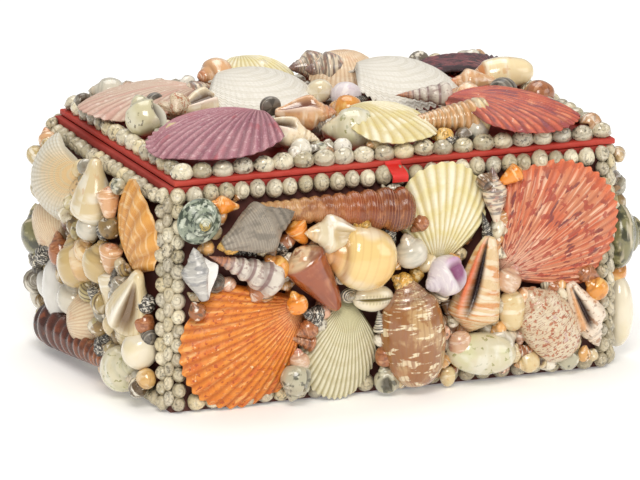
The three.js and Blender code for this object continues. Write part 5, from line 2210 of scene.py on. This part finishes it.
@dataclass
class ButtonRows:
    """The rows and columns of button snails that edge every side."""

    paint: Paint
    boards: dict[Side, Board]
    head: Bead = Bead(9.2, 11.0, 7.4)
    foot: Bead = Bead(10.0, 10.4, 7.4)
    corner: Bead = Bead(8.3, 8.6, 6.8)
    lid: Bead = Bead(11.7, 10.2, 8.4)
    margin: float = 0.6
    hinge_room: float = 1.1
    rim_shows: float = 1.6
    side_head: float = 9.6
    corner_swing: float = 12.0
    corner_tilt: float = -14.0
    head_rise: float = 1.3
    gap: float = 0.3
    row_spread: float = 1.06
    corner_spread: float = 1.14
    arris: tuple[float, float, float] = (0.75, 1.15, 0.7)
    lid_spread: tuple[float, float] = (1.14, 1.05)
    lid_tilt: float = 34.0
    lid_base: tuple[float, float] = (1.2, 0.8)
    lid_back_inset: float = 1.4
    wag: float = 9.0
    nod: float = 8.0
    growth: tuple[float, float] = (0.93, 1.05)
    shades: tuple[float, float] = (0.85, 1.15)
    skew: float = 0.07
    rings: tuple[tuple[float, float], ...] = ((0.84, 0.06), (1.0, 0.32), (0.7, 0.76), (0.3, 0.95))
    sides: int = 11
    greys: tuple[str, ...] = (
        "#d8ccae", "#ccc0a2", "#e2d8bf", "#c1b596", "#d3c8ae", "#b9ad93", "#dccda6", "#cbc2ac", "#e6dcc0",
        "#bbb094",
    )
    rng: np.random.Generator = field(default_factory=lambda: np.random.default_rng(SEED))

    def template(self) -> bpy.types.Object:
        """Shapes one button snail, one unit across and one high, apex up.

        Returns:
            The object, which is deleted once its copies are made.
        """
        bpy.ops.object.select_all(action="DESELECT")
        bpy.ops.mesh.primitive_uv_sphere_add(segments=self.sides, ring_count=len(self.rings) + 1, radius=1.0)
        piece = bpy.context.active_object
        points = read_points(piece.data)
        last = len(self.rings) + 1
        latitude = np.arcsin(np.clip(points[:, 2], -1, 1)) / math.pi + 0.5
        ring = np.clip(np.round(latitude * last), 0, last).astype(int)
        level = np.array([0.0, *[z for _, z in self.rings], 1.0])[ring]
        angle = np.arctan2(points[:, 1], points[:, 0])
        radius = np.array([0.0, *[r for r, _ in self.rings], 0.0])[ring] * (1 + self.skew * np.cos(angle))
        shaped = np.column_stack((radius * np.cos(angle) / 2, radius * np.sin(angle) / 2, level))
        write_points(piece.data, shaped)
        set_attribute(piece.data, "lay", "FLOAT_VECTOR", shaped * 2)
        # The first zone is painted shade on the lower part of each snail, near the board.
        painted_shade = np.clip(1 - level / 0.4, 0, 1)
        ones = np.ones_like(painted_shade)
        set_attribute(piece.data, "zones", "FLOAT_COLOR", np.column_stack((painted_shade, 0 * ones, 0 * ones, ones)))
        alone(piece)
        bpy.ops.object.shade_smooth()
        return piece

    def row(self, name: str, source: bpy.types.Object, places: list[Matrix], body: str) -> None:
        """Copies the template along a row and joins the copies.

        Args:
            name: The CAD node that the row stands for.
            source: The template.
            places: The place and size of each copy.
            body: The body that carries the row.
        """
        copies = []
        for place in places:
            mesh = source.data.copy()
            spin = Matrix.Rotation(self.rng.uniform(0, TURN), 4, "Z")
            mesh.transform(place @ spin)
            copies.append(tinted_copy(mesh, self.rng, self.greys, self.shades))
        piece = join(copies, f"{name}_snails")
        piece.data.materials.append(self.paint.button(glassy=body == "lid"))
        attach(piece, body)
        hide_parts(name)
        log.info("%s: %d button snails", piece.name, len(places))

    def _along(self, length: float, pitch: float) -> list[float]:
        """Spaces the middles of a row's snails evenly.

        Args:
            length: The row's length.
            pitch: The spacing that is aimed at.

        Returns:
            The places along the row, from its middle.
        """
        count = max(2, round(length / pitch))
        return [(-0.5 + (i + 0.5) / count) * length for i in range(count)]

    def _place(
        self, spot: Vector, axes: tuple[Vector, Vector, Vector], size: tuple[float, float, float],
        tilt: float, swing: float = 0.0,
    ) -> Matrix:
        """Gives the place of one snail.

        Args:
            spot: The middle of its base.
            axes: Along the row, across it, and off the board.
            size: Its size along those axes, in millimetres.
            tilt: How far its apex leans across the row, in degrees.
            swing: How far its apex leans along the first axis, in degrees.

        Returns:
            The matrix that sizes and places the template.
        """
        turned = Matrix(axes).transposed().to_4x4()
        wag = Matrix.Rotation(math.radians(swing + self.rng.uniform(-self.wag, self.wag)), 4, "Y")
        lean = Matrix.Rotation(math.radians(tilt + self.rng.uniform(-self.nod, self.nod)), 4, "X")
        grow = self.rng.uniform(*self.growth)
        sized = Matrix.Diagonal((*[value * MM * grow for value in size], 1))
        return Matrix.Translation(spot) @ turned @ lean @ wag @ sized

    def build(self) -> None:
        """Makes every row and column."""
        source = self.template()
        edge = self.corner.across + self.gap
        for board in (self.boards[side] for side in (Side.FRONT, Side.RIGHT, Side.BACK, Side.LEFT)):
            length = board.width / MM - 2 * edge
            stand = self.hinge_room if board.side is Side.BACK else 0.0
            front = board.side is Side.FRONT
            head = self.head if front else replace(self.head, across=self.side_head)
            under = -self.head_rise if front else self.rim_shows
            for part, bead, middle, off in (
                ("top", head, board.height / MM - under - head.across / 2, stand),
                ("foot", self.foot, self.margin + self.foot.across / 2, 0.0),
            ):
                places = []
                for along in self._along(length, bead.pitch):
                    spot = board.foot + board.across * along * MM + board.up * middle * MM
                    spot = spot + board.out * (off * MM + GLUE)
                    size = (bead.pitch * self.row_spread, bead.across, bead.crest)
                    places.append(self._place(spot, (board.across, board.up, board.out), size, 0.0))
                self.row(f"{board.side.value}_{part}_buttons", source, places, "box")
        self._corners(source)
        self._lid(source)
        bpy.data.objects.remove(source)

    def _corners(self, source: bpy.types.Object) -> None:
        """Makes the two columns at each upright corner.

        Args:
            source: The template.
        """
        corners = {
            "front_left": (Side.FRONT, Side.LEFT), "front_right": (Side.RIGHT, Side.FRONT),
            "back_right": (Side.BACK, Side.RIGHT), "back_left": (Side.LEFT, Side.BACK),
        }
        bead = self.corner
        size = (bead.across, bead.pitch * self.corner_spread, bead.crest)
        slim = tuple(value * share for value, share in zip((bead.across, bead.pitch, bead.crest), self.arris))
        for name, (first, second) in corners.items():
            places = []
            height = self.boards[first].height / MM - 2 * self.margin
            for side, end in ((first, -1), (second, 1)):
                board = self.boards[side]
                across = end * (board.width / 2 - bead.across * 0.5 * MM)
                foot = board.foot + board.across * across + board.out * GLUE
                for along in self._along(height, bead.pitch):
                    spot = foot + board.up * (board.height / 2 + along * MM)
                    axes = (board.across, board.up, board.out)
                    places.append(self._place(spot, axes, size, self.corner_tilt, end * self.corner_swing))
            board = self.boards[first]
            out = (board.out + self.boards[second].out).normalized()
            axes = (board.up.cross(out), board.up, out)
            edge = board.foot - board.across * (board.width / 2)
            for along in self._along(height - bead.pitch, bead.pitch):
                spot = edge + board.up * (board.height / 2 + along * MM)
                places.append(self._place(spot, axes, slim, self.corner_tilt))
            self.row(f"{name}_corner_buttons", source, places, "box")

    def _lid(self, source: bpy.types.Object) -> None:
        """Makes the four rows that lean out on the edges of the lid.

        Args:
            source: The template.
        """
        board = self.boards[Side.LID]
        width, height = board.width / MM, board.height / MM
        long = width - 2 * self.margin
        short = height - 2 * (self.margin + self.lid.across + self.gap)
        x, y, z = board.across, board.up, board.out
        rows = [
            ("lid_front_buttons", long, (x, y), Vector((0, -height / 2, 0)), 0.0),
            ("lid_right_buttons", short, (y, -x), Vector((width / 2, 0, 0)), 0.0),
            ("lid_back_buttons", long, (-x, -y), Vector((0, height / 2, 0)), self.lid_back_inset),
            ("lid_left_buttons", short, (-y, x), Vector((-width / 2, 0, 0)), 0.0),
        ]
        middle = board.foot + y * (board.height / 2)
        size = (self.lid.pitch * self.lid_spread[0], self.lid.across * self.lid_spread[1], self.lid.crest)
        for name, length, (along_axis, inward), edge, inset in rows:
            places = []
            off = self.margin + inset + self.lid.across * 0.5 + self.lid_base[0]
            for along in self._along(length, self.lid.pitch):
                spot = middle + (edge + along_axis * along + inward * off + z * self.lid_base[1]) * MM
                places.append(self._place(spot, (along_axis, inward, z), size, self.lid_tilt))
            self.row(name, source, places, "lid")


@dataclass
class ClothBoards:
    """The cloth-covered box and lid, the cloth hinge and the pull ribbon."""

    paint: Paint
    wall: float = 4.0
    floor: float = 4.0
    edge: float = 0.9
    shade_free_rim: float = 2.5
    cloth_thickness: float = 0.5
    hinge_gap: float = 0.6
    hinge_below_top: float = 0.4
    ribbon_slant: float = 0.5
    ribbon_reach: float = 1.16
    ribbon_drop: float = 0.86

    def build(self) -> None:
        """Makes the four pieces."""
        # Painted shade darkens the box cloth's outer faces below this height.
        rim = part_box("box_body")[1].z - self.shade_free_rim * MM
        cloth = self.paint.cloth("red_cloth", "#a02c20", "#b8483a", 1500.0, 0.62, 0.25)
        self._box(self.paint.cloth("box_cloth", "#a02c20", "#b8483a", 1500.0, 0.62, 0.25, rim))
        self._lid(self.paint.cloth("lid_cloth", "#bc3426", "#cf5240", 1500.0, 0.5, 0.3))
        self._hinge(cloth)
        self._ribbon(self.paint.cloth("red_satin", "#e2231c", "#ee5346", 2600.0, 0.3, 0.15))

    def _slab(self, name: str, node: str) -> bpy.types.Object:
        """Adds a block at a CAD node's own size and place.

        Args:
            name: The new object's name.
            node: The CAD node.

        Returns:
            The block, with its place in its mesh.
        """
        low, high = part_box(node)
        bpy.ops.object.select_all(action="DESELECT")
        bpy.ops.mesh.primitive_cube_add(size=1.0, location=(low + high) / 2, scale=high - low)
        piece = bpy.context.active_object
        piece.name = name
        bpy.ops.object.transform_apply(location=True, rotation=True, scale=True)
        return piece

    def _box(self, cloth: bpy.types.Material) -> None:
        """Hollows a block from the top and rounds its edges.

        Args:
            cloth: Its material.
        """
        piece = self._slab("cloth_covered_box", "box_body")
        low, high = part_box("box_body")
        alone(piece)
        bpy.ops.object.mode_set(mode="EDIT")
        bpy.ops.mesh.select_mode(type="FACE")
        bpy.ops.mesh.select_all(action="DESELECT")
        shape = bmesh.from_edit_mesh(piece.data)
        for face in shape.faces:
            face.select = face.normal.z > 0.9
        bmesh.update_edit_mesh(piece.data)
        bpy.ops.mesh.inset(thickness=self.wall * MM)
        depth = high.z - low.z - self.floor * MM
        bpy.ops.mesh.extrude_region_move(TRANSFORM_OT_translate={"value": (0, 0, -depth)})
        bpy.ops.object.mode_set(mode="OBJECT")
        self._finish(piece, "box", "box_body", "box_cloth", cloth)

    def _lid(self, cloth: bpy.types.Material) -> None:
        """Rounds the lid board's edges.

        Args:
            cloth: Its material.
        """
        self._finish(self._slab("cloth_covered_lid", "lid_board"), "lid", "lid_board", "lid_cloth", cloth)

    def _finish(
        self, piece: bpy.types.Object, body: str, node: str, slot: str, cloth: bpy.types.Material
    ) -> None:
        """Bevels, dresses and places a board.

        Args:
            piece: The board.
            body: The body it rides on.
            node: The CAD node it stands for.
            slot: The record's material slot; not used.
            cloth: Its material.
        """
        finish_modifier(piece, "BEVEL", width=self.edge * MM, segments=4, limit_method="ANGLE")
        smooth(piece, 50)
        piece.data.materials.append(cloth)
        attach(piece, body)
        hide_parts(node)
        log.info("%s stands for %s", piece.name, node)

    def _strip(self, name: str, path: list[Vector], width: float, steps: int) -> bpy.types.Object:
        """Bends a grid into a strip of cloth that follows a path.

        Args:
            name: The object's name.
            path: Points down the middle of the strip.
            width: Its width along x.
            steps: Faces across it.

        Returns:
            The strip, with no thickness yet.
        """
        points = np.array([tuple(point) for point in path])
        gaps = np.linalg.norm(np.diff(points, axis=0), axis=1)
        stops = np.concatenate(([0], np.cumsum(gaps))) / gaps.sum()

        def place(u: Array, v: Array) -> tuple[Array, Array]:
            """Gives the strip's points."""
            rows = [smooth_curve(zip(stops, points[:, i]), v) for i in range(3)]
            zones = np.zeros((len(u), 4))
            return np.column_stack((rows[0] + (u - 0.5) * width, rows[1], rows[2])), zones

        return grid_piece(name, steps, 24, place, lambda u, v: (u, v))

    def _hinge(self, cloth: bpy.types.Material) -> None:
        """Runs the hinge cloth straight up from the back wall to just below the top of the lid's back edge.

        Args:
            cloth: Its material.
        """
        low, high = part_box("hinge_cloth")
        lid_low, lid_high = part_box("lid_board")
        y = (low.y + high.y) / 2
        top = lid_high.z - self.hinge_below_top * MM
        path = [Vector(((low.x + high.x) / 2, y, z)) for z in np.linspace(low.z, top, 8)]
        piece = self._strip("hinge_cloth_strip", path, high.x - low.x, 40)
        finish_modifier(piece, "SOLIDIFY", thickness=self.cloth_thickness * MM, offset=0.0)
        smooth(piece, 50)
        piece.data.materials.append(cloth)
        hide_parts("hinge_cloth")
        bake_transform(piece)
        log.info("hinge cloth blends from the box to the lid")

    def _ribbon(self, satin: bpy.types.Material) -> None:
        """Bends the pull ribbon from the lid's front edge over the top buttons.

        Args:
            satin: Its material.
        """
        low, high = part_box("pull_ribbon")
        middle, width = (low.x + high.x) / 2, high.x - low.x
        drop, reach = high.z - low.z, high.y - low.y
        shape = [
            (0.0, 0.0, 0.0), (0.06, 0.16, 0.05), (0.3, 0.3, 0.3), (0.72, 0.45, 0.62), (0.97, 0.68, 0.85),
            (0.9, 1.0, 1.0),
        ]
        path = []
        for out, down, slant in shape:
            x = middle + (slant - 0.5) * self.ribbon_slant * MM
            y = high.y - out * reach * self.ribbon_reach
            path.append(Vector((x, y, high.z - down * drop * self.ribbon_drop)))
        piece = self._strip("pull_ribbon_strip", path, width, 10)
        finish_modifier(piece, "SOLIDIFY", thickness=self.cloth_thickness * MM, offset=0.0)
        smooth(piece, 50)
        piece.data.materials.append(satin)
        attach(piece, "lid")
        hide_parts("pull_ribbon")
        log.info("pull ribbon is %.1f mm wide", width / MM)


@dataclass
class Studio:
    """The pale floor, the soft lights and the camera at the photograph's viewpoint."""

    paint: Paint
    azimuth: float = -21.964
    elevation: float = 14.714
    distance: float = 5.2076
    aim_right: float = -0.004874
    aim_up: float = 0.060076
    focal_pixels: float = 9500.0
    picture_width: float = 640.0
    sensor: float = 36.0

    def build(self) -> None:
        """Makes the stage, the lights and the camera."""
        bpy.context.scene.view_settings.view_transform = "Standard"
        self._camera()
        self._floor()
        self._light("key", (-0.58, -1.38, 1.32), 0.8, 19.4, (1.0, 0.96, 0.895))
        self._light("fill", (1.5, -1.1, 0.7), 1.0, 6.5, (1.0, 0.985, 0.96))
        self._light("top", (0.1, 0.6, 1.7), 1.3, 13.0, (1.0, 0.985, 0.95))
        world = bpy.data.worlds.new("studio")
        bpy.context.scene.world = world
        world.use_nodes = True
        background = world.node_tree.nodes["Background"]
        background.inputs[0].default_value = (1.0, 0.98, 0.945, 1.0)
        background.inputs[1].default_value = 0.46

    def _camera(self) -> None:
        """Sets the camera where the photograph was taken from."""
        a, e = math.radians(self.azimuth), math.radians(self.elevation)
        right = Vector((math.cos(a), math.sin(a), 0))
        back = Vector((math.sin(a) * math.cos(e), -math.cos(a) * math.cos(e), math.sin(e)))
        up = back.cross(right)
        camera = bpy.data.cameras.new("camera")
        camera.sensor_width = self.sensor
        camera.lens = self.sensor * self.focal_pixels / self.picture_width
        camera.clip_start, camera.clip_end = 0.5, 30.0
        holder = bpy.data.objects.new("camera", camera)
        holder.matrix_world = Matrix.Translation(
            right * self.aim_right + up * self.aim_up + back * self.distance
        ) @ Matrix((right, up, back)).transposed().to_4x4()
        bpy.context.collection.objects.link(holder)
        bpy.context.scene.camera = holder

    def _floor(self) -> None:
        """Lays the floor, far enough out that no edge shows."""
        bpy.ops.object.select_all(action="DESELECT")
        bpy.ops.mesh.primitive_plane_add(size=16.0, location=(0, 0, 0))
        floor = bpy.context.active_object
        floor.name = "studio_floor"
        floor.data.materials.append(self.paint.floor())

    def _light(
        self, name: str, where: tuple[float, float, float], size: float, power: float,
        colour: tuple[float, float, float],
    ) -> None:
        """Hangs a soft square light that looks at the box.

        Args:
            name: Its name.
            where: Its place.
            size: The side of its square.
            power: Its power in watts.
            colour: Its colour.
        """
        lamp = bpy.data.lights.new(name, "AREA")
        lamp.size, lamp.energy, lamp.color = size, power, colour
        holder = bpy.data.objects.new(name, lamp)
        holder.location = where
        aim = Vector((0, 0, 0.07)) - Vector(where)
        holder.rotation_euler = aim.to_track_quat("-Z", "Y").to_euler()
        bpy.context.collection.objects.link(holder)


def main() -> None:
    """Builds the whole piece in order."""
    logging.basicConfig(level=logging.INFO, format="%(message)s")
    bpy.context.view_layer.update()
    paint = Paint()
    boards = read_boards()
    smith = ShellSmith()
    Studio(paint).build()
    ClothBoards(paint).build()
    ButtonRows(paint, boards).build()
    ShellCrust(paint, smith, boards).build()
    Crumbs(paint, smith, boards).build()
    log.info("%d shells shaped one by one", smith.made)


if __name__ == "__main__":
    main()
